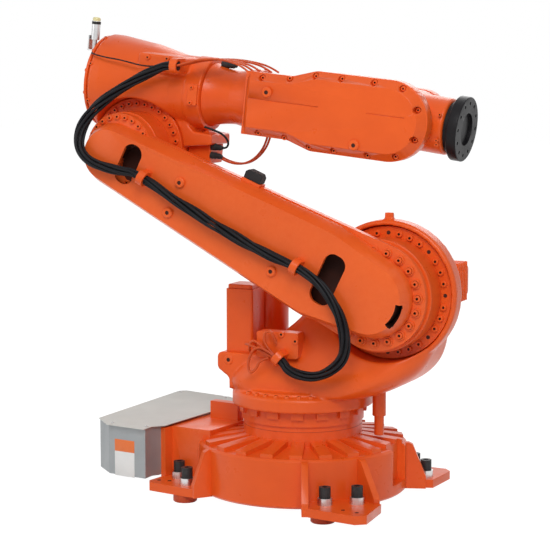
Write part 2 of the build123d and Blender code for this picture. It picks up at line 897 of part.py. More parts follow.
# Elbow housing: cup, saddle and collar about the roll axis, hub about the elbow, deck and motor leg
with BuildPart() as elbow_housing:
    with BuildSketch(side(forearm, 0)):
        with BuildLine():
            Polyline(
                (-cup_back, 0),
                (-cup_back, cup_radius - cup_edge),
                (-cup_back + cup_edge, cup_radius),
                (-cup_front, cup_radius),
                (saddle_front, saddle_radius),
                (throat_place, throat_radius),
                (collar_back, throat_radius),
                (collar_back, collar_rim),
                (collar_front, collar_rim),
                (collar_front, 0),
                close=True,
            )
        make_face()
    revolve(axis=Axis(forearm.origin, forearm.x_dir))
    with BuildSketch(side(elbow, hub_back)):
        Circle(hub_radius)
    extrude(amount=hub_back + hub_face - elbow_gear_thickness)
    with BuildSketch(side(elbow, leg_half_back)):
        with BuildLine():
            FilletPolyline(*scaled(leg_shares, hub_radius), radius=leg_round, close=True)
        make_face()
    extrude(amount=leg_half_back + leg_face)
    with BuildSketch(side(elbow, -deck_back)):
        with Locations((deck_front / 2, (deck_floor + deck_top) / 2)):
            RectangleRounded(deck_front, deck_top - deck_floor, deck_corner)
    extrude(amount=deck_face - deck_back)
    with BuildSketch(side(elbow, -hub_face + elbow_gear_thickness)):
        Circle(elbow_gear_radius + running_gap)
    extrude(amount=arm_inner_face, mode=Mode.SUBTRACT)
finish(elbow_housing.part, "elbow_housing")

with BuildPart() as elbow_gear_ring:
    with BuildSketch(side(elbow, -hub_face + elbow_gear_thickness)):
        Circle(elbow_gear_radius)
        Circle(elbow_gear_bore, mode=Mode.SUBTRACT)
    extrude(amount=elbow_gear_thickness)
finish(elbow_gear_ring.part, "elbow_gear_ring")

with BuildPart() as rear_cover:
    with BuildSketch(front(forearm, -cup_back - rear_cover_thickness)):
        Circle(rear_cover_radius)
    extrude(amount=rear_cover_thickness)
finish(rear_cover.part, "rear_cover")

with BuildPart() as side_plate:
    with BuildSketch(side(elbow, -side_plate_face + side_plate_depth)):
        with Locations((side_plate_place, forearm_rise)):
            RectangleRounded(side_plate_width, side_plate_height, side_plate_corner)
    extrude(amount=side_plate_depth)
    add(elbow_housing.part, mode=Mode.SUBTRACT)
finish(side_plate.part, "side_plate")

with BuildPart() as leg_motor:
    with BuildSketch(level(elbow, leg_motor_floor)):
        with Locations((leg_motor_place, 0)):
            RectangleRounded(leg_motor_width, leg_motor_depth, leg_round)
    extrude(amount=leg_motor_top - leg_motor_floor)
    add(elbow_housing.part, mode=Mode.SUBTRACT)
finish(leg_motor.part, "leg_motor")

with BuildPart() as elbow_motor:
    with BuildSketch(side(elbow, elbow_motor_reach)):
        with Locations((-elbow_motor_shift, elbow_motor_shift)):
            Circle(elbow_motor_radius)
    extrude(amount=elbow_motor_reach - hub_back)
    with BuildSketch(side(elbow, hub_back + motor_flange_thickness)):
        with Locations((-elbow_motor_shift, elbow_motor_shift)):
            Circle(elbow_motor_radius + motor_flange_margin)
    extrude(amount=motor_flange_thickness)
    add(elbow_housing.part, mode=Mode.SUBTRACT)
finish(elbow_motor.part, "elbow_motor")

with BuildPart() as roll_motor:
    with BuildSketch(level(elbow, forearm_rise)):
        with Locations((roll_motor_place, roll_motor_y)):
            RectangleRounded(roll_motor_length, roll_motor_width, roll_motor_corner)
    extrude(amount=roll_motor_top - forearm_rise)
    chamfer(roll_motor.faces().sort_by(Axis(elbow.origin, elbow.z_dir))[-1].edges(), length=running_gap)
    add(elbow_housing.part, mode=Mode.SUBTRACT)
finish(roll_motor.part, "roll_motor")

# Lamp on a bent bracket at the back of the housing
housing_back = cup_back + rear_cover_thickness
bracket_back = housing_back + lamp_bracket_reach
bracket_tread = lamp_bracket_height + lamp_bracket_thickness
with BuildPart() as lamp_bracket:
    with BuildSketch(side(forearm, lamp_y + lamp_bracket_width / 2)):
        with BuildLine():
            Polyline(
                (-housing_back, lamp_bracket_height),
                (-housing_back, bracket_tread),
                (-bracket_back + lamp_bracket_thickness, bracket_tread),
                (-bracket_back + lamp_bracket_thickness, lamp_bracket_height + lamp_bracket_rise),
                (-bracket_back, lamp_bracket_height + lamp_bracket_rise),
                (-bracket_back, lamp_bracket_height),
                close=True,
            )
        make_face()
    extrude(amount=lamp_bracket_width)
finish(lamp_bracket.part, "lamp_bracket")

lamp_floor = bracket_tread + lamp_stem_length
with BuildPart() as lamp_body:
    with BuildSketch(level(forearm, bracket_tread)):
        with Locations((-housing_back - lamp_gap, lamp_y)):
            Circle(lamp_stem_radius)
    extrude(amount=lamp_stem_length)
    with BuildSketch(level(forearm, lamp_floor)):
        with Locations((-housing_back - lamp_gap, lamp_y)):
            Circle(lamp_radius)
    extrude(amount=lamp_length)
finish(lamp_body.part, "lamp_body")

with BuildPart() as lamp_lens:
    with BuildSketch(level(forearm, lamp_floor + lamp_length)):
        with Locations((-housing_back - lamp_gap, lamp_y)):
            Circle(lens_radius)
    extrude(amount=lens_length)
    fillet(lamp_lens.faces().sort_by(Axis.Z)[-1].edges(), radius=lens_length / 2)
finish(lamp_lens.part, "lamp_lens")

# Forearm: round neck and box-shaped body, slotted round the wrist
with BuildPart() as forearm_neck:
    with BuildSketch(side(forearm, 0)):
        with BuildLine():
            Polyline(
                (neck_waist_end, neck_waist_radius),
                (neck_flare_place, neck_flare_radius),
                (forearm_back, neck_flare_radius),
                (forearm_back, 0),
                (collar_front + neck_gap, 0),
                (collar_front + neck_gap, neck_root_radius),
            )
            Bezier(
                (collar_front + neck_gap, neck_root_radius),
                (neck_waist_place, neck_waist_radius),
                (neck_waist_end, neck_waist_radius),
            )
        make_face()
    revolve(axis=Axis(forearm.origin, forearm.x_dir))
finish(forearm_neck.part, "forearm_neck")


# Side outline of the forearm: slim behind, deep in front, with a round nose about the wrist axis
def forearm_outline(plane, slim, deep, inset=0):
    slim = slim - inset
    deep = deep - inset
    back = forearm_back + inset
    with BuildSketch(plane) as outline:
        with BuildLine():
            Polyline(
                (wrist_reach, deep), (deep_start, deep), (slim_end, slim), (back, slim),
                (back, -slim), (slim_end, -slim), (deep_start, -deep), (wrist_reach, -deep),
            )
            ThreePointArc((wrist_reach, -deep), (wrist_reach + deep, 0), (wrist_reach, deep))
        make_face()
        first_step = (back + slim_end) / 2
        last_step = (deep_start + wrist_reach) / 2
        fillet(outline.vertices().filter_by_position(Axis.X, first_step, last_step), radius=outline_round)
    return outline.sketch


with BuildPart() as forearm_body:
    near_side = forearm_outline(side(forearm, -body_half_width), slim_half, deep_half)
    far_side = forearm_outline(side(forearm, body_half_width), far_slim_half, far_deep_half)
    loft(sections=[near_side, far_side], ruled=True)
    with BuildSketch(side(forearm, body_half_width + overrun)):
        with Locations((wrist_reach, 0)):
            Circle(fork_radius)
    extrude(amount=2 * (body_half_width + overrun), mode=Mode.SUBTRACT)
finish(forearm_body.part, "forearm_body")


# A cover that closes the body and holds the wrist by its ear
def forearm_cover(slim, deep):
    with BuildPart() as ear:
        extrude(forearm_outline(side(forearm, -ear_inner), slim, deep), amount=body_half_width - ear_inner)
        with BuildSketch(side(forearm, -ear_inner)):
            with Locations((wrist_reach, 0)):
                Circle(fork_radius - touch_gap)
        extrude(amount=body_half_width - ear_inner, mode=Mode.INTERSECT)
    with BuildPart() as cover:
        extrude(forearm_outline(side(forearm, -body_half_width), slim, deep), amount=cover_rim_depth)
        extrude(
            forearm_outline(side(forearm, -cover_rim), slim, deep, cover_inset),
            amount=cover_face - cover_rim,
            taper=cover_taper_angle,
        )
        add(ear.part)
    return cover.part


finish(forearm_cover(slim_half, deep_half), "right_cover")
finish(forearm_cover(far_slim_half, far_deep_half).mirror(side(forearm, 0)), "left_cover")

with BuildPart() as cover_plugs:
    with BuildSketch(side(forearm, -cover_face)):
        with Locations(*scaled(fork_plug_shares, wrist_reach)):
            Circle(plug_radius)
    extrude(amount=plug_rise)
finish(cover_plugs.part, "cover_plugs")

# Wrist housing between the ears
with BuildPart() as wrist_housing:
    with BuildSketch(side(wrist, wrist_drum_half)):
        Circle(wrist_drum_radius)
    extrude(amount=2 * wrist_drum_half)
    chamfer(wrist_housing.edges().filter_by(GeomType.CIRCLE), length=wrist_edge)
    with BuildSketch(side(wrist, ear_inner - touch_gap)):
        Circle(wrist_boss_radius)
    extrude(amount=2 * (ear_inner - touch_gap))
    with BuildSketch(front(wrist, 0)):
        Circle(wrist_neck_radius)
    extrude(amount=flange_back - touch_gap)
    chamfer(wrist_housing.faces().sort_by(Axis(wrist.origin, wrist.x_dir))[-1].edges(), length=wrist_edge)
finish(wrist_housing.part, "wrist_housing")

# Tool flange with its bolt circle and centring recess
with BuildPart() as tool_flange:
    with BuildSketch(front(wrist, flange_back)):
        Circle(flange_hub_radius)
    extrude(amount=flange_reach - flange_thickness - flange_back)
    with BuildSketch(front(wrist, flange_reach - flange_thickness)):
        Circle(flange_radius)
    extrude(amount=flange_thickness)
    rim = tool_flange.edges().filter_by(GeomType.CIRCLE).group_by(SortBy.RADIUS)[-1]
    chamfer(rim, length=flange_edge)
    with BuildSketch(front(wrist, flange_reach)):
        with PolarLocations(flange_bolt_circle, flange_bolt_count):
            Circle(flange_hole_radius)
    extrude(amount=-flange_hole_depth, mode=Mode.SUBTRACT)
    with BuildSketch(front(wrist, flange_reach)):
        Circle(flange_recess_radius)
    extrude(amount=-flange_recess_depth, mode=Mode.SUBTRACT)
finish(tool_flange.part, "tool_flange")


# A clamp on a foot: the hose runs along the plane's z, and the foot stands toward its y
def hose_clamp(plane, stand):
    with BuildPart() as clamp:
        with BuildSketch(plane.offset(-clamp_length / 2)):
            Circle(bundle_radius + clamp_wall)
            with Locations((0, stand / 2)):
                Rectangle(2 * (bundle_radius + clamp_wall), stand)
            Circle(bundle_radius + touch_gap, mode=Mode.SUBTRACT)
        extrude(amount=clamp_length)
    return clamp.part


def arm_clamp_plane(place):
    middle = (-arm_clamp_shift, -arm_outer_face - arm_clamp_stand, place)
    return Plane(origin=arm.from_local_coords(middle), x_dir=arm.x_dir, z_dir=arm.z_dir)


clamp_turn = radians(turret_clamp_angle)
clamp_heading = turret.x_dir * cos(clamp_turn) - turret.z_dir * sin(clamp_turn)
turret_clamp = Plane(
    origin=turret.from_local_coords((turret_clamp_x, -plate_face - turret_clamp_stand, turret_clamp_z)),
    x_dir=turret.y_dir.cross(clamp_heading),
    z_dir=clamp_heading,
)
foot_clamp = arm_clamp_plane(foot_clamp_place)
head_clamp = arm_clamp_plane(head_clamp_place)
deck_clamp = Plane(
    origin=elbow.from_local_coords((deck_clamp_x, -deck_face - deck_clamp_stand, deck_clamp_z)),
    x_dir=-elbow.z_dir,
    z_dir=elbow.x_dir,
)
for clamp_plane, clamp_stand, clamp_name in (
    (turret_clamp, turret_clamp_stand, "turret_hose_clamp"),
    (foot_clamp, arm_clamp_stand, "arm_clamp_low"),
    (head_clamp, arm_clamp_stand, "arm_clamp_high"),
    (deck_clamp, deck_clamp_stand, "housing_hose_clamp"),
):
    finish(hose_clamp(clamp_plane, clamp_stand), clamp_name)


# A tube of straight runs and tangent arcs, each arc as large as its two runs allow
def tube(points, radius):
    runs = [after - before for before, after in zip(points, points[1:])]
    bends = [
        bend_share * min(run.length, following.length) / tan(radians(run.get_angle(following)) / 2)
        for run, following in zip(runs, runs[1:])
    ]
    with BuildPart() as hose:
        with BuildLine() as path:
            FilletPolyline(*points, radius=bends)
        with BuildSketch(Plane(origin=path.line @ 0, z_dir=path.line % 0)):
            Circle(radius)
        sweep()
    return hose.part


# Where a hose enters a clamp plane's low side, and leaves its high side, with a straight lead
half_clamp = clamp_length / 2
arm_points = [
    foot_clamp.origin - foot_clamp.z_dir * half_clamp,
    foot_clamp.origin + foot_clamp.z_dir * clamp_lead,
    *[arm.from_local_coords(point) for point in arm_route],
    head_clamp.origin - head_clamp.z_dir * clamp_lead,
    head_clamp.origin + head_clamp.z_dir * half_clamp,
]
finish(tube(arm_points, bundle_radius), "arm_hoses")

foot_seat = foot_clamp.offset(-half_clamp - touch_gap)
shoulder_points = [
    turret_clamp.origin - turret_clamp.z_dir * half_clamp,
    turret_clamp.origin + turret_clamp.z_dir * clamp_lead,
    *[turret.from_local_coords(point) for point in shoulder_route],
    foot_seat.offset(-clamp_lead).origin,
    foot_seat.origin,
]
finish(tube(shoulder_points, bundle_radius), "shoulder_hoses")

head_seat = head_clamp.offset(half_clamp + touch_gap)
elbow_points = [
    deck_clamp.origin + deck_clamp.z_dir * half_clamp,
    deck_clamp.origin - deck_clamp.z_dir * clamp_lead,
    *[elbow.from_local_coords(point) for point in elbow_route],
    head_seat.offset(clamp_lead).origin,
    head_seat.origin,
]
finish(tube(elbow_points, bundle_radius), "elbow_hoses")

# Thin cables over and under the forearm's neck
fan = radians(cable_fan_angle)
top_start = deck_clamp.origin + deck_clamp.z_dir * (half_clamp + touch_gap)
with BuildPart() as top_cables:
    for number in range(top_cable_count):
        across = cable_spread * (number - (top_cable_count - 1) / 2)
        step = elbow.y_dir * (across * cos(fan)) - elbow.x_dir * (across * sin(fan))
        start = top_start + elbow.y_dir * across
        route = [elbow.from_local_coords(point) + step for point in top_cable_route]
        add(tube([start, start + elbow.x_dir * cable_lead, *route], cable_radius))
    add(forearm_body.part, mode=Mode.SUBTRACT)
finish(top_cables.part, "top_cables")

low_start_x = leg_motor_place + leg_motor_width / 2 + touch_gap
low_start = elbow.from_local_coords((low_start_x, low_cable_start_y, low_cable_start_z))
with BuildPart() as low_cables:
    for number in range(low_cable_count):
        step = elbow.y_dir * (cable_spread * 2 * number)
        route = [low_start, low_start + elbow.x_dir * cable_lead]
        route += [elbow.from_local_coords(point) for point in low_cable_route]
        add(tube([point + step for point in route], cable_radius))
    add(forearm_body.part, mode=Mode.SUBTRACT)
finish(low_cables.part, "low_cables")
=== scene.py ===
import json
import math
import random
import bmesh
import bpy
from mathutils import Matrix, Vector


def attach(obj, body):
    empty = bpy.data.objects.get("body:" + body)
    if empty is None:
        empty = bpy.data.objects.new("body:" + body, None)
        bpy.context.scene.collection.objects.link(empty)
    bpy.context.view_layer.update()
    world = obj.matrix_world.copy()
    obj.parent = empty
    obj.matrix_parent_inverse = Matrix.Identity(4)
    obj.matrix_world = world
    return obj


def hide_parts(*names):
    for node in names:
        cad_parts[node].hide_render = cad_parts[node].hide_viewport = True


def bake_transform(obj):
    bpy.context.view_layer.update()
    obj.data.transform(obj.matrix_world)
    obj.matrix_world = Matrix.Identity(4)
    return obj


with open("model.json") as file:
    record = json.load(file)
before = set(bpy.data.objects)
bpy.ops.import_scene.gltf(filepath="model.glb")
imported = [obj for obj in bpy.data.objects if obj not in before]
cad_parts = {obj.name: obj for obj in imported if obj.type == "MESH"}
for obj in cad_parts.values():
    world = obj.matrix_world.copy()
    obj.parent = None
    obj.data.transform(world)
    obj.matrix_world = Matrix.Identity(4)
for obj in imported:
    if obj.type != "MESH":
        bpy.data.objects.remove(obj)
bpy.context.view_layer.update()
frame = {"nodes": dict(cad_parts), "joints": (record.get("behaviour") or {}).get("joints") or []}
nodes = frame["nodes"]
random.seed(6)
print("frame loaded:", len(nodes), "nodes")

# Camera first, at the photograph's viewing angle
cameraView = {
    "place": (3.22446, -5.23725, 1.45058), "turn": (83.14, 0, 32.46),
    "lens": 126.58, "sensor": 36, "reach": 60,
}


def makeCamera(view):
    data = bpy.data.cameras.new("camera")
    data.lens = view["lens"]
    data.sensor_width = view["sensor"]
    data.clip_end = view["reach"]
    camera = bpy.data.objects.new("camera", data)
    camera.location = view["place"]
    camera.rotation_euler = [math.radians(a) for a in view["turn"]]
    bpy.context.scene.collection.objects.link(camera)
    bpy.context.scene.camera = camera


makeCamera(cameraView)

# Link frames, read from the joints: x ahead, y to the left, z up along each link
jointAt = {j["name"]: Vector(j["pos_m"]) for j in frame["joints"]}
jointAxis = {j["name"]: Vector(j["axis"]).normalized() for j in frame["joints"]}
across = jointAxis["shoulder"]
near = (0, -1, 0)
far = (0, 1, 0)
up = (0, 0, 1)
ahead = (1, 0, 0)
behind = (-1, 0, 0)


def linkFrame(origin, zAxis):
    zAxis = zAxis.normalized()
    matrix = Matrix((across.cross(zAxis), across, zAxis)).transposed().to_4x4()
    matrix.translation = origin
    return matrix


floorFrame = Matrix.Identity(4)
turret = linkFrame(Vector(), Vector(up))
hip = linkFrame(jointAt["shoulder"], Vector(up))
arm = linkFrame(jointAt["shoulder"], jointAt["elbow"] - jointAt["shoulder"])
elbow = linkFrame(jointAt["elbow"], jointAxis["forearm_roll"].cross(across))
forearm = linkFrame(jointAt["forearm_roll"], jointAxis["forearm_roll"].cross(across))
wrist = linkFrame(jointAt["wrist_bend"], jointAxis["flange_spin"].cross(across))


# Materials: two shared groups, and one material for each finish
def addNode(tree, kind, place, **values):
    node = tree.nodes.new(kind)
    node.location = place
    for name, value in values.items():
        if name in node.inputs:
            node.inputs[name].default_value = value
        else:
            setattr(node, name, value)
    return node


def addRange(tree, place, value, limits):
    # Stretches a value's limits to 0 and 1
    node = addNode(tree, "ShaderNodeMapRange", place)
    node.inputs["From Min"].default_value = limits[0]
    node.inputs["From Max"].default_value = limits[1]
    tree.links.new(value, node.inputs["Value"])
    return node


def addColorMix(tree, place, factor, first, second):
    # In a colour mix the colours are inputs 6 and 7 and output 2
    node = addNode(tree, "ShaderNodeMix", place, data_type="RGBA")
    tree.links.new(factor, node.inputs["Factor"])
    tree.links.new(first, node.inputs[6])
    tree.links.new(second, node.inputs[7])
    return node.outputs[2]


def newGroup(name, inputs, outputs):
    tree = bpy.data.node_groups.new(name, "ShaderNodeTree")
    for label, kind, value in inputs:
        socket = tree.interface.new_socket(label, in_out="INPUT", socket_type=kind)
        socket.default_value = value
    for label, kind in outputs:
        tree.interface.new_socket(label, in_out="OUTPUT", socket_type=kind)
    inside = addNode(tree, "NodeGroupInput", (-900, 0))
    outside = addNode(tree, "NodeGroupOutput", (600, 0))
    return tree, inside, outside


coatLook = {
    "drift": {"Detail": 4.0, "Roughness": 0.6}, "driftLimits": (0.35, 0.68),
    "skin": {"Detail": 3.0, "Roughness": 0.5},
    "cloud": {"Detail": 6.0, "Roughness": 0.65, "Scale": 17.0}, "cloudLimits": (0.3, 0.7),
}


def makeCoatGroup():
    # Slow colour drift, cloudy gloss and a fine skin, over any coated surface
    tree, inside, outside = newGroup(
        "coatSkin",
        [
            ("Color", "NodeSocketColor", (0.8, 0.2, 0.05, 1)),
            ("Shade", "NodeSocketColor", (0.7, 0.15, 0.03, 1)),
            ("Drift Scale", "NodeSocketFloat", 4.0),
            ("Skin Scale", "NodeSocketFloat", 260.0),
            ("Gloss Low", "NodeSocketFloat", 0.3),
            ("Gloss High", "NodeSocketFloat", 0.42),
        ],
        [("Color", "NodeSocketColor"), ("Roughness", "NodeSocketFloat"), ("Height", "NodeSocketFloat")],
    )
    link = tree.links.new
    place = addNode(tree, "ShaderNodeTexCoord", (-900, 300))
    drift = addNode(tree, "ShaderNodeTexNoise", (-600, 300), **coatLook["drift"])
    skin = addNode(tree, "ShaderNodeTexNoise", (-600, 0), **coatLook["skin"])
    cloud = addNode(tree, "ShaderNodeTexNoise", (-600, -300), **coatLook["cloud"])
    for noise in (drift, skin, cloud):
        link(place.outputs["Object"], noise.inputs["Vector"])
    link(inside.outputs["Drift Scale"], drift.inputs["Scale"])
    link(inside.outputs["Skin Scale"], skin.inputs["Scale"])
    spread = addRange(tree, (-300, 300), drift.outputs["Fac"], coatLook["driftLimits"]).outputs["Result"]
    blend = addColorMix(tree, (0, 300), spread, inside.outputs["Color"], inside.outputs["Shade"])
    gloss = addRange(tree, (0, -300), cloud.outputs["Fac"], coatLook["cloudLimits"])
    link(inside.outputs["Gloss Low"], gloss.inputs["To Min"])
    link(inside.outputs["Gloss High"], gloss.inputs["To Max"])
    link(blend, outside.inputs["Color"])
    link(gloss.outputs["Result"], outside.inputs["Roughness"])
    link(skin.outputs["Fac"], outside.inputs["Height"])
    return tree


edgeLook = {"speck": {"Detail": 5.0, "Roughness": 0.7, "Scale": 60.0}, "sharpLimits": (0.52, 0.6)}


def makeEdgeWearHighlightGroup():
    # Lighter colour where the surface turns sharply outwards: partly edge wear, and partly a painted
    # highlight along the edges
    tree, inside, outside = newGroup(
        "edgeWearAndHighlight",
        [
            ("Color", "NodeSocketColor", (0.8, 0.2, 0.05, 1)),
            ("Wear And Highlight", "NodeSocketColor", (0.9, 0.3, 0.1, 1)),
            ("Amount", "NodeSocketFloat", 0.5),
        ],
        [("Color", "NodeSocketColor")],
    )
    link = tree.links.new
    shape = addNode(tree, "ShaderNodeNewGeometry", (-900, 300))
    place = addNode(tree, "ShaderNodeTexCoord", (-900, -300))
    speck = addNode(tree, "ShaderNodeTexNoise", (-600, -300), **edgeLook["speck"])
    link(place.outputs["Object"], speck.inputs["Vector"])
    edge = addRange(tree, (-600, 300), shape.outputs["Pointiness"], edgeLook["sharpLimits"])
    broken = addNode(tree, "ShaderNodeMath", (-300, 100), operation="MULTIPLY")
    link(edge.outputs["Result"], broken.inputs[0])
    link(speck.outputs["Fac"], broken.inputs[1])
    mask = addNode(tree, "ShaderNodeMath", (-100, 100), operation="MULTIPLY", use_clamp=True)
    link(broken.outputs[0], mask.inputs[0])
    link(inside.outputs["Amount"], mask.inputs[1])
    blend = addColorMix(tree, (200, 0), mask.outputs[0], inside.outputs["Color"], inside.outputs["Wear And Highlight"])
    link(blend, outside.inputs["Color"])
    return tree


coatGroup = makeCoatGroup()
edgeWearHighlightGroup = makeEdgeWearHighlightGroup()

# What a finish has where its own row doesn't say
plainFinish = {"metal": 0, "coat": 0, "coatRoughness": 0.2, "gleam": 0.3, "bumpDepth": 0.002}
finishes = {
    # Each row's worn colour goes on sharp edges: on steel it is bare-metal wear, on the paints a painted
    # highlight
    "orangePaint": {
        "color": (0.82, 0.112, 0.013), "shade": (0.74, 0.092, 0.010), "wearAndHighlight": (0.88, 0.17, 0.04), "edge": 0.5,
        "drift": 3.5, "skin": 420, "gloss": (0.26, 0.38), "bump": 0.02,
    },
    # A darker copy of the orange paint: a painted shade, on the foot pads under the base plate and the seam
    # under the neck
    "shadedOrange": {
        "color": (0.42, 0.045, 0.01), "shade": (0.36, 0.036, 0.008), "wearAndHighlight": (0.6, 0.1, 0.03), "edge": 0.8,
        "drift": 6, "skin": 400, "gloss": (0.42, 0.6), "bump": 0.03,
    },
    "blackSteel": {
        "color": (0.008, 0.007, 0.009), "shade": (0.013, 0.012, 0.013), "wearAndHighlight": (0.09, 0.09, 0.09),
        "edge": 0.8, "drift": 16, "skin": 700, "gloss": (0.3, 0.45), "bump": 0.03, "gleam": 0.14,
    },
    "zincSteel": {
        "color": (0.62, 0.62, 0.62), "shade": (0.5, 0.5, 0.5), "wearAndHighlight": (0.8, 0.8, 0.8), "edge": 0.6,
        "drift": 30, "skin": 900, "gloss": (0.25, 0.42), "bump": 0.02, "metal": 1, "gleam": 0.5,
    },
    "greySheet": {
        "color": (0.34, 0.36, 0.37), "shade": (0.28, 0.30, 0.31), "wearAndHighlight": (0.66, 0.67, 0.66), "edge": 0.6,
        "drift": 5, "skin": 500, "gloss": (0.42, 0.58), "bump": 0.015, "metal": 0.35, "gleam": 0.5,
    },
    "hoseBlack": {
        "color": (0.007, 0.007, 0.009), "shade": (0.013, 0.013, 0.016), "wearAndHighlight": (0.05, 0.05, 0.05),
        "edge": 0.3, "drift": 25, "skin": 900, "gloss": (0.34, 0.5), "bump": 0.03, "gleam": 0.12,
    },
    "rubberBlack": {
        "color": (0.02, 0.02, 0.021), "shade": (0.03, 0.03, 0.03), "wearAndHighlight": (0.06, 0.06, 0.06), "edge": 0.5,
        "drift": 20, "skin": 600, "gloss": (0.5, 0.7), "bump": 0.05, "gleam": 0.15,
    },
    "cableOrange": {
        "color": (0.62, 0.08, 0.01), "shade": (0.5, 0.055, 0.007), "wearAndHighlight": (0.8, 0.2, 0.08), "edge": 0.2,
        "drift": 18, "skin": 900, "gloss": (0.32, 0.45), "bump": 0.02,
    },
    "lidSheet": {
        "color": (0.60, 0.61, 0.57), "shade": (0.55, 0.56, 0.53), "wearAndHighlight": (0.7, 0.7, 0.68), "edge": 0.3,
        "drift": 5, "skin": 500, "gloss": (0.45, 0.6), "bump": 0.015,
    },
    # A painted shade: this dark colour stands in for the shade in screw sockets, plug centres, open holes and
    # the arm's hollow
    "paintedShadeDark": {
        "color": (0.05, 0.012, 0.006), "shade": (0.03, 0.008, 0.005), "wearAndHighlight": (0.1, 0.02, 0.01), "edge": 0.2,
        "drift": 30, "skin": 600, "gloss": (0.6, 0.75), "bump": 0.02,
    },
    "lensYellow": {
        "color": (0.78, 0.7, 0.35), "shade": (0.7, 0.62, 0.3), "wearAndHighlight": (0.9, 0.85, 0.5), "edge": 0.2,
        "drift": 20, "skin": 600, "gloss": (0.12, 0.2), "bump": 0.01, "coat": 0.3,
    },
    "labelOrange": {
        "color": (0.85, 0.2, 0.05), "shade": (0.8, 0.17, 0.04), "wearAndHighlight": (0.9, 0.4, 0.2), "edge": 0.2,
        "drift": 12, "skin": 700, "gloss": (0.35, 0.45), "bump": 0.01,
    },
    "labelWhite": {
        "color": (0.82, 0.82, 0.8), "shade": (0.76, 0.76, 0.74), "wearAndHighlight": (0.9, 0.9, 0.9), "edge": 0.2,
        "drift": 12, "skin": 700, "gloss": (0.35, 0.45), "bump": 0.01,
    },
}


def makeFinish(name, ownLook):
    look = {**plainFinish, **ownLook}
    material = bpy.data.materials.new(name)
    material.use_nodes = True
    tree = material.node_tree
    link = tree.links.new
    shader = tree.nodes["Principled BSDF"]
    shader.inputs["Metallic"].default_value = look["metal"]
    shader.inputs["Coat Weight"].default_value = look["coat"]
    shader.inputs["Coat Roughness"].default_value = look["coatRoughness"]
    shader.inputs["Specular IOR Level"].default_value = look["gleam"]
    skin = addNode(tree, "ShaderNodeGroup", (-700, 100), node_tree=coatGroup)
    skin.inputs["Color"].default_value = (*look["color"], 1)
    skin.inputs["Shade"].default_value = (*look["shade"], 1)
    skin.inputs["Drift Scale"].default_value = look["drift"]
    skin.inputs["Skin Scale"].default_value = look["skin"]
    skin.inputs["Gloss Low"].default_value = look["gloss"][0]
    skin.inputs["Gloss High"].default_value = look["gloss"][1]
    edge = addNode(tree, "ShaderNodeGroup", (-400, 200), node_tree=edgeWearHighlightGroup)
    edge.inputs["Wear And Highlight"].default_value = (*look["wearAndHighlight"], 1)
    edge.inputs["Amount"].default_value = look["edge"]
    bump = addNode(tree, "ShaderNodeBump", (-300, -200))
    bump.inputs["Strength"].default_value = look["bump"]
    bump.inputs["Distance"].default_value = look["bumpDepth"]
    link(skin.outputs["Color"], edge.inputs["Color"])
    link(edge.outputs["Color"], shader.inputs["Base Color"])
    link(skin.outputs["Roughness"], shader.inputs["Roughness"])
    link(skin.outputs["Height"], bump.inputs["Height"])
    link(bump.outputs["Normal"], shader.inputs["Normal"])
    return material


paint = {name: makeFinish(name, look) for name, look in finishes.items()}
print("materials made:", len(paint))

# Tools for pieces; angles in degrees, lengths in metres
crease = 35  # a sharper edge than this stays sharp, or is rounded
roundedCrease = 40
flatTurn = 1  # faces that turn less than this are joined
joinGap = 1e-5
touch = 1e-6


def addObject(name, mesh, body, materials, smoothAngle=crease):
    piece = bpy.data.objects.new(name, mesh)
    bpy.context.scene.collection.objects.link(piece)
    for material in materials:
        mesh.materials.append(paint[material])
    mesh.shade_smooth()
    mesh.set_sharp_from_angle(angle=math.radians(smoothAngle))
    if body:
        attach(piece, body)
    return piece


def addPiece(name, bm, body, materials=("orangePaint",), smoothAngle=crease):
    mesh = bpy.data.meshes.new(name)
    bm.to_mesh(mesh)
    bm.free()
    return addObject(name, mesh, body, materials, smoothAngle)


def mergedCopy(nodeName):
    bm = bmesh.new()
    bm.from_mesh(nodes[nodeName].data)
    bmesh.ops.remove_doubles(bm, verts=bm.verts, dist=joinGap)
    return bm


def joinFlats(bm):
    bmesh.ops.dissolve_limit(bm, angle_limit=math.radians(flatTurn), verts=bm.verts, edges=bm.edges)


def roundEdges(piece, width, segments=3):
    bevel = piece.modifiers.new("edges", "BEVEL")
    bevel.width = width
    bevel.segments = segments
    bevel.limit_method = "ANGLE"
    bevel.angle_limit = math.radians(crease)
    bevel.harden_normals = True


def bevelPiece(nodeName, body, width, slot="orange_paint", materials=("orangePaint",), inside=None):
    # The node's solid with sharp edges rounded; faces that the inside test picks take the second material, on
    # the arm a painted shade
    bm = mergedCopy(nodeName)
    joinFlats(bm)
    if inside:
        for face in bm.faces:
            face.material_index = int(inside(face.calc_center_median()))
    piece = addPiece(nodeName + "_rounded", bm, body, materials, roundedCrease)
    roundEdges(piece, width)
    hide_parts(nodeName)


def carve(piece, cutter):
    # Cuts the cutter's shapes out of a piece, after its other modifiers, and leaves a plain mesh
    mesh = bpy.data.meshes.new("cutter")
    cutter.to_mesh(mesh)
    cutter.free()
    tool = bpy.data.objects.new("cutter", mesh)
    bpy.context.scene.collection.objects.link(tool)
    cut = piece.modifiers.new("cut", "BOOLEAN")
    cut.operation = "DIFFERENCE"
    cut.solver = "EXACT"
    cut.object = tool
    bpy.context.view_layer.update()
    shaped = piece.evaluated_get(bpy.context.evaluated_depsgraph_get())
    result = bpy.data.meshes.new_from_object(shaped)
    piece.modifiers.clear()
    piece.data = result
    result.shade_smooth()
    result.set_sharp_from_angle(angle=math.radians(crease))
    bpy.data.objects.remove(tool)
    bpy.data.meshes.remove(mesh)


def paintNode(nodeName, material):
    mesh = nodes[nodeName].data
    mesh.materials.clear()
    mesh.materials.append(paint[material])


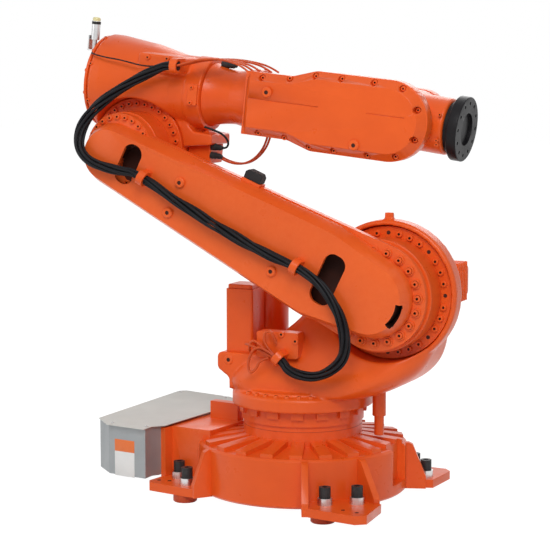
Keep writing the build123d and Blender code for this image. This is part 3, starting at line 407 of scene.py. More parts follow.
def lathe(profile, sides=12, shadeRadius=0.0, closed=False):
    # A turned shape from radius and height pairs; faces within the given radius take the second material, a
    # painted shade in sockets and sunk centres
    bm = bmesh.new()
    verts = [bm.verts.new((radius, 0, height)) for radius, height in profile]
    pairs = list(zip(verts, verts[1:])) + ([(verts[-1], verts[0])] if closed else [])
    edges = [bm.edges.new(pair) for pair in pairs]
    bmesh.ops.spin(
        bm, geom=verts + edges, cent=(0, 0, 0), axis=up, angle=math.tau, steps=sides, use_merge=True,
        use_duplicate=False,
    )
    bmesh.ops.remove_doubles(bm, verts=bm.verts, dist=touch)
    bmesh.ops.recalc_face_normals(bm, faces=bm.faces)
    for face in bm.faces:
        if all(math.hypot(v.co.x, v.co.y) <= shadeRadius + touch for v in face.verts):
            face.material_index = 1
    mesh = bpy.data.meshes.new("turned")
    bm.to_mesh(mesh)
    bm.free()
    return mesh


def ringProfile(inner, outer, low, high):
    return [(inner, low), (outer, low), (outer, high), (inner, high)]


def addCopies(bm, mesh, places):
    for place in places:
        first = len(bm.verts)
        bm.from_mesh(mesh)
        bm.verts.ensure_lookup_table()
        bmesh.ops.transform(bm, matrix=place, verts=bm.verts[first:])


def addTurned(name, places, body, mesh, slot="orange_paint", materials=("orangePaint", "paintedShadeDark")):
    bm = bmesh.new()
    addCopies(bm, mesh, places)
    bpy.data.meshes.remove(mesh)
    addPiece(name, bm, body, materials)


def facing(link, point, direction):
    # A place on a link with its z along a direction of that link
    turn = Vector(direction).to_track_quat("Z", "Y").to_matrix().to_4x4()
    return link @ Matrix.Translation(Vector(point)) @ turn


def facingAll(link, points, direction):
    return [facing(link, point, direction) for point in points]


def evenAngles(count, start=0.0):
    return [start + 360 / count * n for n in range(count)]


def circle(plane, centre, radius, angles):
    # Points on a circle in a plane such as "xz"
    first, second = ("xyz".index(letter) for letter in plane)
    points = []
    for angle in angles:
        point = list(centre)
        point[first] += radius * math.cos(math.radians(angle))
        point[second] += radius * math.sin(math.radians(angle))
        points.append(point)
    return points


def radialPlaces(link, centre, radius, angles):
    # Places round a link's x axis, facing outwards
    places = []
    for angle in angles:
        turn = math.radians(angle)
        out = Vector((0, math.cos(turn), math.sin(turn)))
        places.append(facing(link, Vector(centre) + radius * out, out))
    return places


def roundedBox(low, high, width, segments=2):
    bm = bmesh.new()
    bmesh.ops.create_cube(bm, size=1)
    size = Vector(high) - Vector(low)
    middle = (Vector(high) + Vector(low)) / 2
    bmesh.ops.transform(bm, matrix=Matrix.Translation(middle) @ Matrix.Diagonal((*size, 1)), verts=bm.verts)
    bmesh.ops.bevel(
        bm, geom=list(bm.edges), offset=width, affect="EDGES", segments=segments, profile=0.5, material=-1,
    )
    return bm


def addBox(name, link, low, high, width, body, materials=("orangePaint",)):
    bm = roundedBox(low, high, width)
    bmesh.ops.transform(bm, matrix=link, verts=bm.verts)
    bmesh.ops.recalc_face_normals(bm, faces=bm.faces)
    addPiece(name, bm, body, materials)


tube = {"resolution": 8, "rounding": 2, "order": 3, "smooth": 60}


def addSpline(data, kind, points):
    spline = data.splines.new(kind)
    spline.points.add(len(points) - 1)
    for spot, point in zip(spline.points, points):
        spot.co = (*point, 1)
    if kind == "NURBS":
        spline.order_u = tube["order"]
        spline.use_endpoint_u = True


def curveMesh(name, kind, routes, radius):
    # The mesh of one curve with a spline for each route; radius 0 gives only the points along it
    data = bpy.data.curves.new(name, "CURVE")
    data.dimensions = "3D"
    data.resolution_u = tube["resolution"]
    data.bevel_depth = radius
    data.bevel_resolution = tube["rounding"]
    data.use_fill_caps = True
    for points in routes:
        addSpline(data, kind, points)
    holder = bpy.data.objects.new(name, data)
    mesh = bpy.data.meshes.new_from_object(holder)
    bpy.data.objects.remove(holder)
    bpy.data.curves.remove(data)
    return mesh


def readRoute(link, points):
    # Points along the smooth line of a route
    mesh = curveMesh("route", "NURBS", [[link @ Vector(point) for point in points]], 0)
    line = [v.co.copy() for v in mesh.vertices]
    bpy.data.meshes.remove(mesh)
    return line


castings = {
    "turret_casting": {"body": "turret", "voxel": 0.0042},
    "elbow_housing": {"body": "elbow_housing", "voxel": 0.0036},
    "wrist_housing": {"body": "wrist", "voxel": 0.003},
}
castSmooth = {"factor": 0.5, "rounds": 3, "crease": 180, "quickVoxel": 1.6}


def castPiece(nodeName, body, voxel):
    piece = addPiece(nodeName + "_cast", mergedCopy(nodeName), body, smoothAngle=castSmooth["crease"])
    remesh = piece.modifiers.new("evenSkin", "REMESH")
    remesh.mode = "VOXEL"
    remesh.voxel_size = voxel * 1
    remesh.use_smooth_shade = True
    smooth = piece.modifiers.new("softEdges", "SMOOTH")
    smooth.factor = castSmooth["factor"]
    smooth.iterations = castSmooth["rounds"]
    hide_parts(nodeName)


for nodeName, casting in castings.items():
    castPiece(nodeName, casting["body"], casting["voxel"])

# Orange pieces with their sharp edges rounded: the edges' width, by body
rounded = {
    "base": {"base_casting": 0.003, "lug_ring": 0.002},
    "turret": {
        "shoulder_gear_ring": 0.002, "shoulder_motor": 0.007, "swivel_motor": 0.003,
        "swivel_motor_cap": 0.002, "swivel_gearbox": 0.003, "cable_plate": 0.002,
        "turret_hose_clamp": 0.0015,
    },
    "lower_arm": {
        "shoulder_disc": 0.003, "elbow_disc": 0.003, "damper_base": 0.002, "arm_clamp_low": 0.0015,
        "arm_clamp_high": 0.0015,
    },
    "elbow_housing": {
        "elbow_gear_ring": 0.002, "rear_cover": 0.003, "side_plate": 0.0015, "leg_motor": 0.004,
        "elbow_motor": 0.005, "roll_motor": 0.006, "housing_hose_clamp": 0.0015,
    },
    "forearm": {"forearm_neck": 0.003, "forearm_body": 0.005, "cover_plugs": 0.0015},
}
for body, widths in rounded.items():
    for nodeName, width in widths.items():
        bevelPiece(nodeName, body, width)

# The arm's hollow, seen through its windows, and the slot round its foot; faces inside them take a dark
# colour, a painted shade
armCavity = {
    "low": (0.009, 0.160, 0.104), "high": (0, 0.892, 0.066), "near": 0.242, "far": 0.177, "slack": 0.004,
}
armSlot = {"radius": (0.0932, 0.1128), "angle": (-116, -71.5), "near": 0.2445}


def armShadedInside(point):
    x, y, z = arm.inverted() @ point
    lowX, lowZ, lowRadius = armCavity["low"]
    highX, highZ, highRadius = armCavity["high"]
    share = min(1, max(0, (z - lowZ) / (highZ - lowZ)))
    middleX = lowX + (highX - lowX) * share
    middleZ = lowZ + (highZ - lowZ) * share
    radius = lowRadius + (highRadius - lowRadius) * share + armCavity["slack"]
    hollow = armCavity["far"] < -y < armCavity["near"] and math.hypot(x - middleX, z - middleZ) < radius
    turn = math.degrees(math.atan2(z, x))
    slot = (
        -y < armSlot["near"] and armSlot["radius"][0] < math.hypot(x, z) < armSlot["radius"][1]
        and armSlot["angle"][0] < turn < armSlot["angle"][1]
    )
    return hollow or slot


# The rest of the rounded pieces, most with a finish of their own
otherRounded = {
    "arm_plugs": {"body": "lower_arm", "width": 0.0015},
    "stop_pin": {"body": "base", "width": 0.002},
    # The arm's inside faces take the painted shade
    "lower_arm": {
        "body": "lower_arm", "width": 0.005, "materials": ("orangePaint", "paintedShadeDark"), "inside": armShadedInside,
    },
    "connector_box": {"body": "base", "width": 0.003, "slot": "grey_sheet", "materials": ("greySheet",)},
    "box_lid": {"body": "base", "width": 0.001, "slot": "grey_sheet", "materials": ("lidSheet",)},
    "damper": {"body": "lower_arm", "width": 0.003, "slot": "rubber", "materials": ("rubberBlack",)},
    "tool_flange": {
        "body": "tool_flange", "width": 0.002, "slot": "black_steel", "materials": ("blackSteel",),
    },
    "lamp_body": {"body": "elbow_housing", "width": 0.001, "slot": "steel", "materials": ("zincSteel",)},
}
for nodeName, row in otherRounded.items():
    bevelPiece(nodeName, **row)

# Nodes whose shape stays as it is; the foot pads take a darker orange, a painted shade under the base plate
keptNodes = {
    "foot_pads": "shadedOrange", "anchor_sleeves": "zincSteel", "anchor_bolts": "blackSteel",
    "lifting_eye": "orangePaint", "lamp_bracket": "zincSteel", "lamp_lens": "lensYellow",
}
for nodeName, material in keptNodes.items():
    paintNode(nodeName, material)
print("castings and housings rounded")

# How far a small piece is sunk into what carries it, and a screw's parts as shares of its head
seat = 0.002
screwForm = {"rim": 0.14, "floor": 0.4, "gap": 1.12, "socket": 0.42, "bossHeight": 0.55, "sides": 12}
# The second material of each goes on the socket's faces: a painted shade in the recess, dark on painted
# screws and black on zinc ones
paintedScrew = {"slot": "orange_paint", "materials": ("orangePaint", "paintedShadeDark")}
zincScrew = {"slot": "steel", "materials": ("zincSteel", "blackSteel")}


def screwProfile(head, height, socket, boss):
    # A cap screw with a broken rim and a socket, in a raised ring where it has a boss
    rim = head * screwForm["rim"]
    floor = height * screwForm["floor"]
    profile = [(0, floor), (socket, floor), (socket, height), (head - rim, height), (head, height - rim)]
    if boss:
        inner = head * screwForm["gap"]
        bossHeight = height * screwForm["bossHeight"]
        gapFloor = seat / 4
        profile += [(head, gapFloor), (inner, gapFloor), (inner, bossHeight), (boss - rim, bossHeight)]
        profile += [(boss, bossHeight - rim), (boss, -seat), (0, -seat)]
    else:
        profile += [(head, -seat), (0, -seat)]
    return profile


def addScrews(name, places, body, screw):
    socket = screw.get("socket", screw["head"] * screwForm["socket"])
    profile = screwProfile(screw["head"], screw["height"], socket, screw.get("boss", 0))
    finish = screw.get("finish", paintedScrew)
    addTurned(name, places, body, lathe(profile, screwForm["sides"], socket), **finish)


def addScrewRows(rows):
    for name, row in rows.items():
        addScrews(name, facingAll(row["link"], row["spots"], row["facing"]), row["body"], row)


# Forearm covers: a face with a sloped band round it, two creases, and a pocket for each bolt
coverForm = {
    "rim": 0.148, "face": 0.177, "strip": 0.002, "inset": 0.026, "edge": 0.004, "slack": 0.0002,
    "endX": 0.887, "narrow": {"right_cover": 0.97, "left_cover": 0.72},
}
coverCrease = {"z": 0.017, "spans": ((0.402, 0.664), (0.823, 0.947)), "width": 0.0024, "depth": 0.0018}
coverBolts = {
    "floor": 0.148, "depth": 0.06, "pocket": 0.0108, "sides": 24, "head": 0.0076, "height": 0.008,
    "places": [
        (0.460, 0.086), (0.551, 0.095), (0.638, 0.112), (0.725, 0.114), (0.832, 0.114), (0.926, 0.106),
        (0.983, 0.046), (0.983, -0.047), (0.925, -0.107), (0.833, -0.115), (0.721, -0.115), (0.637, -0.115),
        (0.551, -0.096), (0.461, -0.092),
    ],
}


def nearestOn(spot, start, end):
    run = end - start
    return start + run * min(1, max(0, (spot - start).dot(run) / run.length_squared))


def sideSpot(vert):
    return Vector((vert.co.x, vert.co.z))


def slopeBand(bm):
    # Draws the foot of the cover's crown out to its rim, so that a band slopes from the face to the edge
    rim, slack = coverForm["rim"], coverForm["slack"]
    low = {v for v in bm.verts if abs(v.co.y) < rim - slack}
    outer = {v for v in bm.verts if v not in low and any(e.other_vert(v) in low for e in v.link_edges)}
    runs = []
    for edge in bm.edges:
        first, second = edge.verts
        touching = {v for face in edge.link_faces for v in face.verts}
        if first in outer and second in outer and touching & low:
            runs.append((sideSpot(first), sideSpot(second)))
    for vert in bm.verts:
        if vert in low or vert in outer:
            continue
        spot = sideSpot(vert)
        nearest = [nearestOn(spot, start, end) for start, end in runs]
        rimSpot = min(nearest, key=lambda point: (point - spot).length)
        share = (abs(vert.co.y) - rim) / (coverForm["face"] - rim)
        wanted = coverForm["strip"] + (coverForm["inset"] - coverForm["strip"]) * share
        move = (rimSpot - spot) * (1 - wanted / max((rimSpot - spot).length, slack))
        vert.co.x += move.x
        vert.co.z += move.y


def coverCutter(places, side):
    # A round pocket over each bolt, and the thin creases along the face
    cutter = bmesh.new()
    depth, pocket = coverBolts["depth"], coverBolts["pocket"]
    for place in places:
        bmesh.ops.create_cone(
            cutter, cap_ends=True, segments=coverBolts["sides"], radius1=pocket, radius2=pocket, depth=depth,
            matrix=place @ Matrix.Translation((0, 0, depth / 2)),
        )
    for start, end in coverCrease["spans"]:
        size = (end - start, 2 * coverCrease["depth"], coverCrease["width"])
        spot = ((start + end) / 2, side * coverForm["face"], coverCrease["z"])
        place = forearm @ Matrix.Translation(spot) @ Matrix.Diagonal((*size, 1))
        bmesh.ops.create_cube(cutter, size=1, matrix=place)
    return cutter


def makeCover(nodeName, side):
    bm = mergedCopy(nodeName)
    bmesh.ops.transform(bm, matrix=forearm.inverted(), verts=bm.verts)
    slopeBand(bm)
    bmesh.ops.transform(bm, matrix=forearm, verts=bm.verts)
    joinFlats(bm)
    cover = addPiece(nodeName + "_shell", bm, "forearm")
    roundEdges(cover, coverForm["edge"])
    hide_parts(nodeName)
    endX, narrow = coverForm["endX"], coverForm["narrow"][nodeName]
    places = []
    for x, z in coverBolts["places"]:
        narrowX = x if x < endX else endX + (x - endX) * narrow
        places.append(facing(forearm, (narrowX, coverBolts["floor"] * side, z * narrow), (0, side, 0)))
    carve(cover, coverCutter(places, side))
    addScrews(nodeName + "_bolts", places, "forearm", coverBolts)


makeCover("right_cover", -1)
makeCover("left_cover", 1)
print("forearm covers made")

# Circles of screws at the joints
shoulderGear = {"centre": (0, -0.073, 0), "radius": 0.187}
addScrewRows({
    "arm_foot_bolts": {
        "link": arm, "body": "lower_arm", "facing": near, "head": 0.0102, "height": 0.012, "boss": 0.0155,
        "spots": circle("xz", (0, -0.190, 0), 0.142, [a for a in evenAngles(20, 9) if not 40 < a < 140]),
    },
    "arm_head_bolts": {
        "link": elbow, "body": "lower_arm", "facing": near, "head": 0.0082, "height": 0.009,
        "spots": circle("xz", (0, -0.200, 0), 0.107, evenAngles(24, 7.5)),
    },
    "shoulder_gear_bolts": {
        "link": hip, "body": "turret", "facing": near, "head": 0.010, "height": 0.008,
        "spots": circle(
            "xz", shoulderGear["centre"], shoulderGear["radius"], [a for a in evenAngles(32) if a % 45],
        ),
    },
    "elbow_gear_bolts": {
        "link": elbow, "body": "elbow_housing", "facing": near, "head": 0.0085, "height": 0.007,
        "spots": circle("xz", (0, -0.079, 0), 0.146, evenAngles(32, 5)),
    },
})

# Open screw holes: dark discs, a little proud of the casting, a painted shade standing in for the dark of
# each hole
holeShadeDisc = {
    "radius": 0.0062, "rise": 0.0006, "footTop": 0.051,
    "feet": [(0.338, -0.318), (0.389, -0.323), (-0.366, -0.287), (-0.332, -0.277)],
}
holeShadeProfile = [
    (0, holeShadeDisc["rise"]), (holeShadeDisc["radius"], holeShadeDisc["rise"]), (holeShadeDisc["radius"], -seat), (0, -seat),
]
gearHoles = circle("xz", shoulderGear["centre"], shoulderGear["radius"], evenAngles(8))
addTurned("shoulder_gear_holes", facingAll(hip, gearHoles, near), "turret", lathe(holeShadeProfile),
          materials=("paintedShadeDark",))
footHoles = [(x, y, holeShadeDisc["footTop"]) for x, y in holeShadeDisc["feet"]]
addTurned("foot_screw_holes", facingAll(floorFrame, footHoles, up), "base", lathe(holeShadeProfile),
          materials=("paintedShadeDark",))


# The swivel disc's screws stand where the turret's body leaves room for them
discRoom = {"side": 0.82, "back": -0.95}


def onDisc(angle):
    turn = math.radians(angle)
    return abs(math.sin(turn)) > discRoom["side"] or math.cos(turn) < discRoom["back"]


addScrewRows({
    "swivel_disc_screws": {
        "link": turret, "body": "turret", "facing": up, "head": 0.0075, "height": 0.007,
        "spots": circle("xy", (0, 0, 0.348), 0.213, [a for a in evenAngles(36) if onDisc(a)]),
    },
    "cable_plate_bolts": {
        "link": turret, "body": "turret", "facing": near, "head": 0.0095, "height": 0.007,
        "spots": [(0.049, -0.168, 0.523), (0.001, -0.168, 0.542)],
    },
    "deck_screws": {
        "link": elbow, "body": "elbow_housing", "facing": near, "head": 0.008, "height": 0.006,
        "spots": [(0.036, -0.125, 0.301), (0.106, -0.125, 0.304)],
    },
    "side_plate_screws": {
        "link": elbow, "body": "elbow_housing", "facing": near, "head": 0.0065, "height": 0.005,
        "spots": [(0.202, -0.126, 0.223), (0.201, -0.126, 0.174)],
    },
    "web_screws": {
        "link": hip, "body": "turret", "facing": far, "head": 0.0075, "height": 0.006,
        "spots": circle("xz", (0, 0.062, 0), 0.170, evenAngles(16, 11.25)),
    },
    "shoulder_motor_screws": {
        "link": hip, "body": "turret", "facing": far, "head": 0.0075, "height": 0.006,
        "spots": [(0.050 + x, 0.300, 0.005 + z) for x in (-0.064, 0.064) for z in (-0.042, 0.042)],
    },
    "gearbox_screws": {
        "link": turret, "body": "turret", "facing": up, "head": 0.0065, "height": 0.005,
        "spots": circle("xy", (-0.146, 0.062, 0.652), 0.050, evenAngles(6)),
    },
    "rear_cover_screws": {
        "link": forearm, "body": "elbow_housing", "facing": behind, "head": 0.0065, "height": 0.005,
        "spots": circle("yz", (-0.180, 0, 0), 0.138, evenAngles(12, 15)),
    },
    "wrist_screws": {
        "link": wrist, "body": "wrist", "facing": near, "head": 0.006, "height": 0.004,
        "spots": [(0.139, -0.088, 0.039), (0.139, -0.088, -0.040), (0.141, -0.088, -0.052)],
    },
    "forearm_back_screws": {
        "link": forearm, "body": "forearm", "facing": behind, "head": 0.0062, "height": 0.005,
        "spots": circle("yz", (0.398, 0, 0), 0.113, (140, 163, 197, 220, 40, 17, -17, -40)),
    },
    "lid_screws": {
        "link": floorFrame, "body": "base", "facing": up, "head": 0.0055, "height": 0.003, "socket": 0.0023,
        "finish": zincScrew, "spots": [
            (-0.410, -0.294, 0.222), (-0.542, -0.300, 0.222), (-0.681, 0.279, 0.222), (-0.484, 0.270, 0.222),
        ],
    },
})

# Screws round the forearm's axis, facing outwards
rimRows = {
    "neck_flange_screws": {
        "body": "forearm", "x": 0.385, "radius": 0.0965, "angles": evenAngles(12, 15),
        "head": 0.0062, "height": 0.005, "socket": 0.0031,
    },
    "cup_rim_screws": {
        "body": "elbow_housing", "x": -0.161, "radius": 0.1545, "angles": evenAngles(8, 22.5),
        "head": 0.006, "height": 0.004, "socket": 0.003,
    },
}
for name, row in rimRows.items():
    addScrews(name, radialPlaces(forearm, (row["x"], 0, 0), row["radius"], row["angles"]), row["body"], row)

# Sealing plugs: a raised ring round a sunk centre, whose dark colour is a painted shade
plug = {"radius": 0.0165, "rise": 0.003, "centre": 0.0065, "sink": 0.0016, "sides": 20}
sunk = plug["rise"] - plug["sink"]
plugProfile = [
    (0, sunk), (plug["centre"], sunk), (plug["centre"], plug["rise"]),
    (plug["radius"] - plug["rise"], plug["rise"]), (plug["radius"], 0), (plug["radius"], -seat), (0, -seat),
]
plugRows = {
    "arm_plug_rings": {
        "link": arm, "body": "lower_arm",
        "spots": [(0.025, -0.261, 0.712), (-0.080, -0.261, 0.709), (-0.075, -0.261, 0.314)],
    },
    "cover_plug_rings": {
        "link": forearm, "body": "forearm", "spots": [(0.489, -0.1835, 0.042), (0.795, -0.1835, -0.084)],
    },
    "bracket_plug": {"link": turret, "body": "turret", "spots": [(-0.203, -0.130, 0.442)]},
}
for name, row in plugRows.items():
    shape = lathe(plugProfile, plug["sides"], plug["centre"])
    addTurned(name, facingAll(row["link"], row["spots"], near), row["body"], shape)
print("screws and plugs placed")

# Lamp trim
lampRing = {"place": (-0.194, -0.070, 0.384), "inner": 0.012, "outer": 0.0147, "height": 0.009, "sides": 20}
lampProfile = ringProfile(lampRing["inner"], lampRing["outer"], 0, lampRing["height"])
addTurned("lamp_ring", [facing(elbow, lampRing["place"], up)], "elbow_housing",
          lathe(lampProfile, lampRing["sides"], closed=True), "rubber", ("rubberBlack",))

# Seam under the base's neck, in a darker orange that is a painted shade in the joint
seam = {"inner": 0.1890, "outer": 0.1916, "low": 0.2352, "high": 0.2368, "sides": 96}
seamProfile = ringProfile(seam["inner"], seam["outer"], seam["low"], seam["high"])
addTurned("neck_seam", [floorFrame], "base", lathe(seamProfile, seam["sides"], closed=True),
          materials=("shadedOrange",))

# Bare plate on the connector box, along its near face: x and y from a corner of that face
boxPlate = {
    "from": (-0.548, -0.312), "to": (-0.400, -0.3159), "x": (0.024, 0.104), "y": (-0.0008, 0.001),
    "orange": (0.135, 0.174), "white": (0.054, 0.135), "edge": 0.0003,
}
faceRun = Vector(boxPlate["to"]) - Vector(boxPlate["from"])
faceTurn = Matrix.Rotation(math.atan2(faceRun.y, faceRun.x), 4, "Z")
faceFrame = Matrix.Translation((*boxPlate["from"], 0)) @ faceTurn
for name, material in (("orange", "labelOrange"), ("white", "labelWhite")):
    low, high = zip(boxPlate["x"], boxPlate["y"], boxPlate[name])
    addBox("box_plate_" + name, faceFrame, low, high, boxPlate["edge"], "base", (material,))

# Ribs round the shoulder motor's casing
motorRibs = {
    "x": (-0.0375, 0.1375), "z": (-0.0585, 0.0685), "first": 0.196, "pitch": 0.016, "thickness": 0.005,
    "count": 6, "edge": 0.002,
}
for number in range(motorRibs["count"]):
    first = motorRibs["first"] + motorRibs["pitch"] * number
    low, high = zip(motorRibs["x"], (first, first + motorRibs["thickness"]), motorRibs["z"])
    addBox(f"motor_rib_{number + 1}", hip, low, high, motorRibs["edge"], "turret")
legBoss = {"low": (0.065, -0.080, 0.128), "high": (0.150, -0.070, 0.188), "edge": 0.004}
addBox("leg_boss", elbow, legBoss["low"], legBoss["high"], legBoss["edge"], "elbow_housing")

# Cable connectors: radius and length shares of a turned body with a narrowed tail
connectorForm = {
    "sides": 16,
    "outline": [(0, 0), (1, 0), (1, 0.42), (0.86, 0.46), (0.86, 0.8), (0.6, 0.9), (0.5, 1), (0, 1)],
}
connectors = {
    "leg_connector_high": {
        "body": "elbow_housing", "start": (0.2495, -0.040, 0.036), "radius": 0.011, "length": 0.040,
    },
    "leg_connector_low": {
        "body": "elbow_housing", "start": (0.2495, -0.040, 0.008), "radius": 0.011, "length": 0.040,
    },
    "neck_connector": {"body": "forearm", "start": (0.245, -0.006, 0.301), "radius": 0.012, "length": 0.052},
}
for name, part in connectors.items():
    profile = [(part["radius"] * r, part["length"] * h) for r, h in connectorForm["outline"]]
    shape = lathe(profile, connectorForm["sides"])
    addTurned(name, [facing(elbow, part["start"], ahead)], part["body"], shape, "rubber", ("rubberBlack",))


def addCables(name, link, routes, radius, body, material="cableOrange"):
    placed = [[link @ Vector(point) for point in points] for points in routes]
    return addObject(name, curveMesh(name, "NURBS", placed, radius), body, (material,), tube["smooth"])


# Cables from the deck clamp, rising over the neck and fanned out on the forearm's top
topCable = {
    "radius": 0.0033, "start": (0.172, -0.168), "gap": 0.0075, "middle": 2,
    "ends": [(0.4027, -0.140), (0.4129, -0.117), (0.4225, -0.085), (0.430, -0.025), (0.435, 0.017)],
    "height": [0.290, 0.303, 0.319, 0.325, 0.319, 0.309, 0.294],
    "along": [0, 0.14, 0.34, 0.56, 0.76, 0.9, 1],
    "over": [0, 0.05, 0.26, 0.55, 0.82, 0.95, 1],
    "turnFrom": (0.19, 0, 0.2), "turnTo": (0.37, 0, 0.2),
}


def topRoute(number, end):
    startX, startY = topCable["start"]
    startY += topCable["gap"] * (number - topCable["middle"])
    endX, endY = end
    shares = zip(topCable["along"], topCable["over"], topCable["height"])
    return [(startX + (endX - startX) * a, startY + (endY - startY) * o, h) for a, o, h in shares]


topRoutes = [topRoute(number, end) for number, end in enumerate(topCable["ends"])]
topCables = addCables("top_cable_fan", elbow, topRoutes, topCable["radius"], None)
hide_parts("top_cables")
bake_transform(topCables)

# The pair of cables under the neck
lowCable = {
    "radius": 0.0036, "gap": 0.022, "count": 2, "turnFrom": (0.25, 0, 0), "turnTo": (0.44, 0, 0),
    "route": [
        (0.2503, -0.029, 0.014), (0.275, -0.031, 0.003), (0.305, -0.034, -0.006), (0.342, -0.040, -0.009),
        (0.380, -0.048, -0.001), (0.413, -0.056, 0.020), (0.438, -0.062, 0.050), (0.452, -0.066, 0.082),
        (0.458, -0.068, 0.114),
    ],
}
lowRoutes = []
for number in range(lowCable["count"]):
    lowRoutes.append([(x, y + lowCable["gap"] * number, z) for x, y, z in lowCable["route"]])
lowCables = addCables("low_cable_pair", elbow, lowRoutes, lowCable["radius"], None)
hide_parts("low_cables")
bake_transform(lowCables)

# Cables that stay on one body
turretCables = {"radius": 0.0044, "routes": [
    [(-0.010, -0.194, 0.466), (-0.044, -0.191, 0.481), (-0.079, -0.187, 0.497), (-0.117, -0.176, 0.506),
     (-0.132, -0.150, 0.500)],
    [(-0.012, -0.196, 0.474), (-0.044, -0.198, 0.500), (-0.082, -0.200, 0.500), (-0.103, -0.201, 0.450),
     (-0.096, -0.202, 0.415), (-0.074, -0.201, 0.430), (-0.060, -0.199, 0.462), (-0.030, -0.197, 0.470)],
    [(-0.016, -0.192, 0.480), (-0.046, -0.191, 0.506), (-0.052, -0.190, 0.540), (-0.036, -0.189, 0.556),
     (-0.018, -0.188, 0.542), (-0.014, -0.178, 0.516)],
    [(-0.010, -0.190, 0.476), (-0.050, -0.188, 0.494), (-0.089, -0.184, 0.524), (-0.110, -0.176, 0.500),
     (-0.118, -0.150, 0.478)],
]}
addCables("turret_cables", turret, turretCables["routes"], turretCables["radius"], "turret")
blackCables = {
    "lamp_cable": {"radius": 0.0024, "route": [
        (-0.190, -0.076, 0.301), (-0.182, -0.108, 0.294), (-0.160, -0.142, 0.292), (-0.110, -0.149, 0.286),
        (-0.051, -0.149, 0.284), (0.030, -0.149, 0.273), (0.077, -0.149, 0.277), (0.120, -0.151, 0.284),
        (0.148, -0.156, 0.286),
    ]},
    "leg_cable": {"radius": 0.0035, "route": [
        (0.288, -0.040, 0.036), (0.304, -0.042, 0.037), (0.312, -0.046, 0.058), (0.296, -0.060, 0.082),
        (0.262, -0.072, 0.094), (0.236, -0.080, 0.100),
    ]},
}
for name, cable in blackCables.items():
    addCables(name, elbow, [cable["route"]], cable["radius"], "elbow_housing", "hoseBlack")
print("cables laid")

# Hoses: strands laid round a core; turn is in radians, and waves in radians a metre
strands = {
    "count": 6, "radius": 0.0049, "ring": 0.0100, "turn": 7.0, "loosen": 0.32, "wander": 0.0012, "waves": 40,
}


def clampLead(place, direction, before, after):
    # Points on a clamp's axis, before and after it
    middle, heading = Vector(place), Vector(direction).normalized()
    return middle + heading * before, middle + heading * after


def strandPaths(line):
    # Paths round a line, carried along it with no sudden turn, looser between its ends
    normal = (line[1] - line[0]).orthogonal().normalized()
    lengths = [0.0]
    for before, after in zip(line, line[1:]):
        lengths.append(lengths[-1] + (after - before).length)
    phases = [random.uniform(0, math.tau) for _ in range(strands["count"])]
    paths = [list(line)] + [[] for _ in range(strands["count"])]
    for index, point in enumerate(line):
        heading = (line[min(index + 1, len(line) - 1)] - line[max(index - 1, 0)]).normalized()
        normal = (normal - heading * normal.dot(heading)).normalized()
        beside = heading.cross(normal)
        share = lengths[index] / lengths[-1]
        loose = 1 + strands["loosen"] * math.sin(math.pi * share) ** 2
        for number in range(strands["count"]):
            angle = math.tau * number / strands["count"] + strands["turn"] * lengths[index]
            wave = math.sin(phases[number] + strands["waves"] * lengths[index])
            ring = strands["ring"] * loose + strands["wander"] * wave
            paths[number + 1].append(point + (normal * math.cos(angle) + beside * math.sin(angle)) * ring)
    return paths


def addHoses(nodeName, link, points, bodies):
    line = readRoute(link, points)
    mesh = curveMesh(nodeName + "_strands", "POLY", strandPaths(line), strands["radius"])
    body = None if len(bodies) > 1 else bodies[0]
    hoses = addObject(nodeName + "_strands", mesh, body, ("hoseBlack",), tube["smooth"])
    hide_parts(nodeName)
    if len(bodies) > 1:
        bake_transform(hoses)


# The clamps' middles on their own links, half their width, and the straight lead beside them
clamps = {
    "half": 0.012, "lead": 0.030, "foot": (-0.017, -0.280, 0.241), "head": (-0.017, -0.280, 0.826),
    "turret": (0.001, -0.194, 0.471), "turretFall": 40, "deck": (0.158, -0.168, 0.288),
}
half, lead = clamps["half"], clamps["lead"]

armRoute = [
    (-0.026, -0.281, 0.330), (-0.031, -0.282, 0.452), (-0.030, -0.281, 0.590), (-0.024, -0.281, 0.720),
]
armStart = clampLead(clamps["foot"], up, -half, lead)
armEnd = clampLead(clamps["head"], up, -lead, half)
addHoses("arm_hoses", arm, [*armStart, *armRoute, *armEnd], ("lower_arm",))

shoulderRoute = [
    (0.032, -0.200, 0.440), (0.072, -0.207, 0.424), (0.124, -0.216, 0.421), (0.174, -0.227, 0.437),
    (0.216, -0.240, 0.464), (0.243, -0.251, 0.498), (0.256, -0.265, 0.535), (0.257, -0.276, 0.583),
    (0.238, -0.281, 0.642), (0.205, -0.281, 0.692), (0.172, -0.280, 0.725),
]
clampFall = math.radians(clamps["turretFall"])
turretHeading = (math.cos(clampFall), 0, -math.sin(clampFall))
shoulderStart = clampLead(clamps["turret"], turretHeading, -half, lead)
toTurret = turret.inverted() @ arm
shoulderEnd = [toTurret @ point for point in clampLead(clamps["foot"], up, -half - lead, -half)]
addHoses("shoulder_hoses", turret, [*shoulderStart, *shoulderRoute, *shoulderEnd], ("turret", "lower_arm"))

elbowRoute = [
    (0.098, -0.176, 0.270), (0.060, -0.186, 0.247), (0.012, -0.200, 0.214), (-0.034, -0.214, 0.177),
    (-0.078, -0.227, 0.134), (-0.107, -0.242, 0.088), (-0.118, -0.257, 0.043), (-0.110, -0.270, 0.002),
    (-0.082, -0.278, -0.027), (-0.042, -0.281, -0.044), (0.012, -0.281, -0.052), (0.068, -0.281, -0.055),
]
elbowStart = clampLead(clamps["deck"], ahead, half, -lead)
toElbow = elbow.inverted() @ arm
elbowEnd = [toElbow @ point for point in clampLead(clamps["head"], up, half + lead, half)]
elbowPoints = [*elbowStart, *elbowRoute, *elbowEnd]
addHoses("elbow_hoses", elbow, elbowPoints[::-1], ("lower_arm", "elbow_housing"))
print("hoses laid")

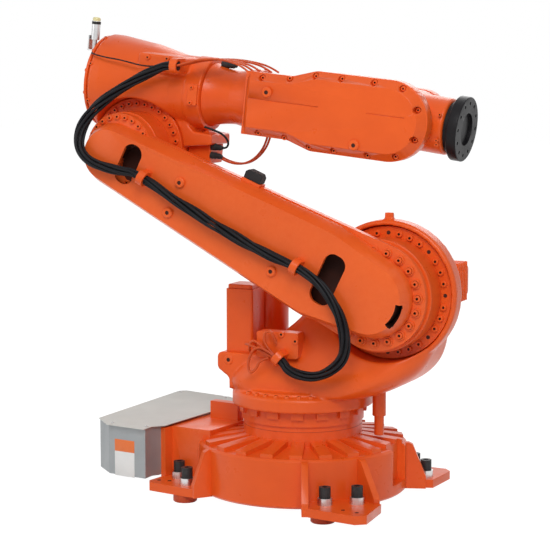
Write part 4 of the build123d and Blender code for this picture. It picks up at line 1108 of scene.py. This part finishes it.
# Floor, light and background
white = (1, 1, 1, 1)
paleFloor = {
    "size": 20, "color": (0.9, 0.9, 0.9, 1), "roughness": 0.9, "gleam": 0.1, "share": 0.8, "glow": 1.24,
}
skyStrength = 0.30
lampTarget = (0, 0, 0.7)
lamps = {
    "keyLight": {"place": (2.2, -3.6, 4.2), "size": 2.6, "power": 165},
    "fillLight": {"place": (-3.4, -3.2, 2.6), "size": 3.0, "power": 34},
    "backLight": {"place": (-1.0, 3.6, 3.4), "size": 3.0, "power": 60},
}


def seenRays(tree, place):
    # 1 where the camera, a reflection or a view through glass looks at the surface
    x, y = place
    path = addNode(tree, "ShaderNodeLightPath", (x - 450, y))
    first = addNode(tree, "ShaderNodeMath", (x - 200, y), operation="MAXIMUM")
    second = addNode(tree, "ShaderNodeMath", (x, y), operation="MAXIMUM")
    tree.links.new(path.outputs["Is Camera Ray"], first.inputs[0])
    tree.links.new(path.outputs["Is Glossy Ray"], first.inputs[1])
    tree.links.new(first.outputs[0], second.inputs[0])
    tree.links.new(path.outputs["Is Transmission Ray"], second.inputs[1])
    return second.outputs[0]


def makeFloor():
    bm = bmesh.new()
    bmesh.ops.create_grid(bm, x_segments=1, y_segments=1, size=paleFloor["size"])
    mesh = bpy.data.meshes.new("studioFloor")
    bm.to_mesh(mesh)
    bm.free()
    floor = bpy.data.objects.new("studioFloor", mesh)
    bpy.context.scene.collection.objects.link(floor)
    material = bpy.data.materials.new("paleFloor")
    material.use_nodes = True
    tree = material.node_tree
    link = tree.links.new
    shader = tree.nodes["Principled BSDF"]
    shader.inputs["Base Color"].default_value = paleFloor["color"]
    shader.inputs["Roughness"].default_value = paleFloor["roughness"]
    shader.inputs["Specular IOR Level"].default_value = paleFloor["gleam"]
    mesh.materials.append(material)
    glow = addNode(tree, "ShaderNodeEmission", (0, 300), Strength=paleFloor["glow"])
    mix = addNode(tree, "ShaderNodeMixShader", (300, 100))
    link(shader.outputs[0], mix.inputs[1])
    link(glow.outputs[0], mix.inputs[2])
    share = addNode(tree, "ShaderNodeMath", (0, 500), operation="MULTIPLY")
    share.inputs[1].default_value = paleFloor["share"]
    link(seenRays(tree, (-200, 500)), share.inputs[0])
    link(share.outputs[0], mix.inputs["Fac"])
    link(mix.outputs[0], tree.nodes["Material Output"].inputs["Surface"])


def makeWorld():
    world = bpy.data.worlds.new("studioWorld")
    bpy.context.scene.world = world
    world.use_nodes = True
    tree = world.node_tree
    link = tree.links.new
    soft = tree.nodes["Background"]
    soft.inputs["Color"].default_value = white
    soft.inputs["Strength"].default_value = skyStrength
    bright = addNode(tree, "ShaderNodeBackground", (0, -200), Strength=1.0)
    bright.inputs["Color"].default_value = white
    mix = addNode(tree, "ShaderNodeMixShader", (200, 100))
    link(seenRays(tree, (-50, 300)), mix.inputs["Fac"])
    link(soft.outputs[0], mix.inputs[1])
    link(bright.outputs[0], mix.inputs[2])
    link(mix.outputs[0], tree.nodes["World Output"].inputs["Surface"])


def makeLamps():
    for name, lamp in lamps.items():
        data = bpy.data.lights.new(name, "AREA")
        data.size = lamp["size"]
        data.energy = lamp["power"]
        light = bpy.data.objects.new(name, data)
        light.location = lamp["place"]
        aim = Vector(lampTarget) - Vector(lamp["place"])
        light.rotation_euler = aim.to_track_quat("-Z", "Y").to_euler()
        bpy.context.scene.collection.objects.link(light)


makeFloor()
makeWorld()
makeLamps()
bpy.context.scene.view_settings.view_transform = "Standard"
print("studio ready")
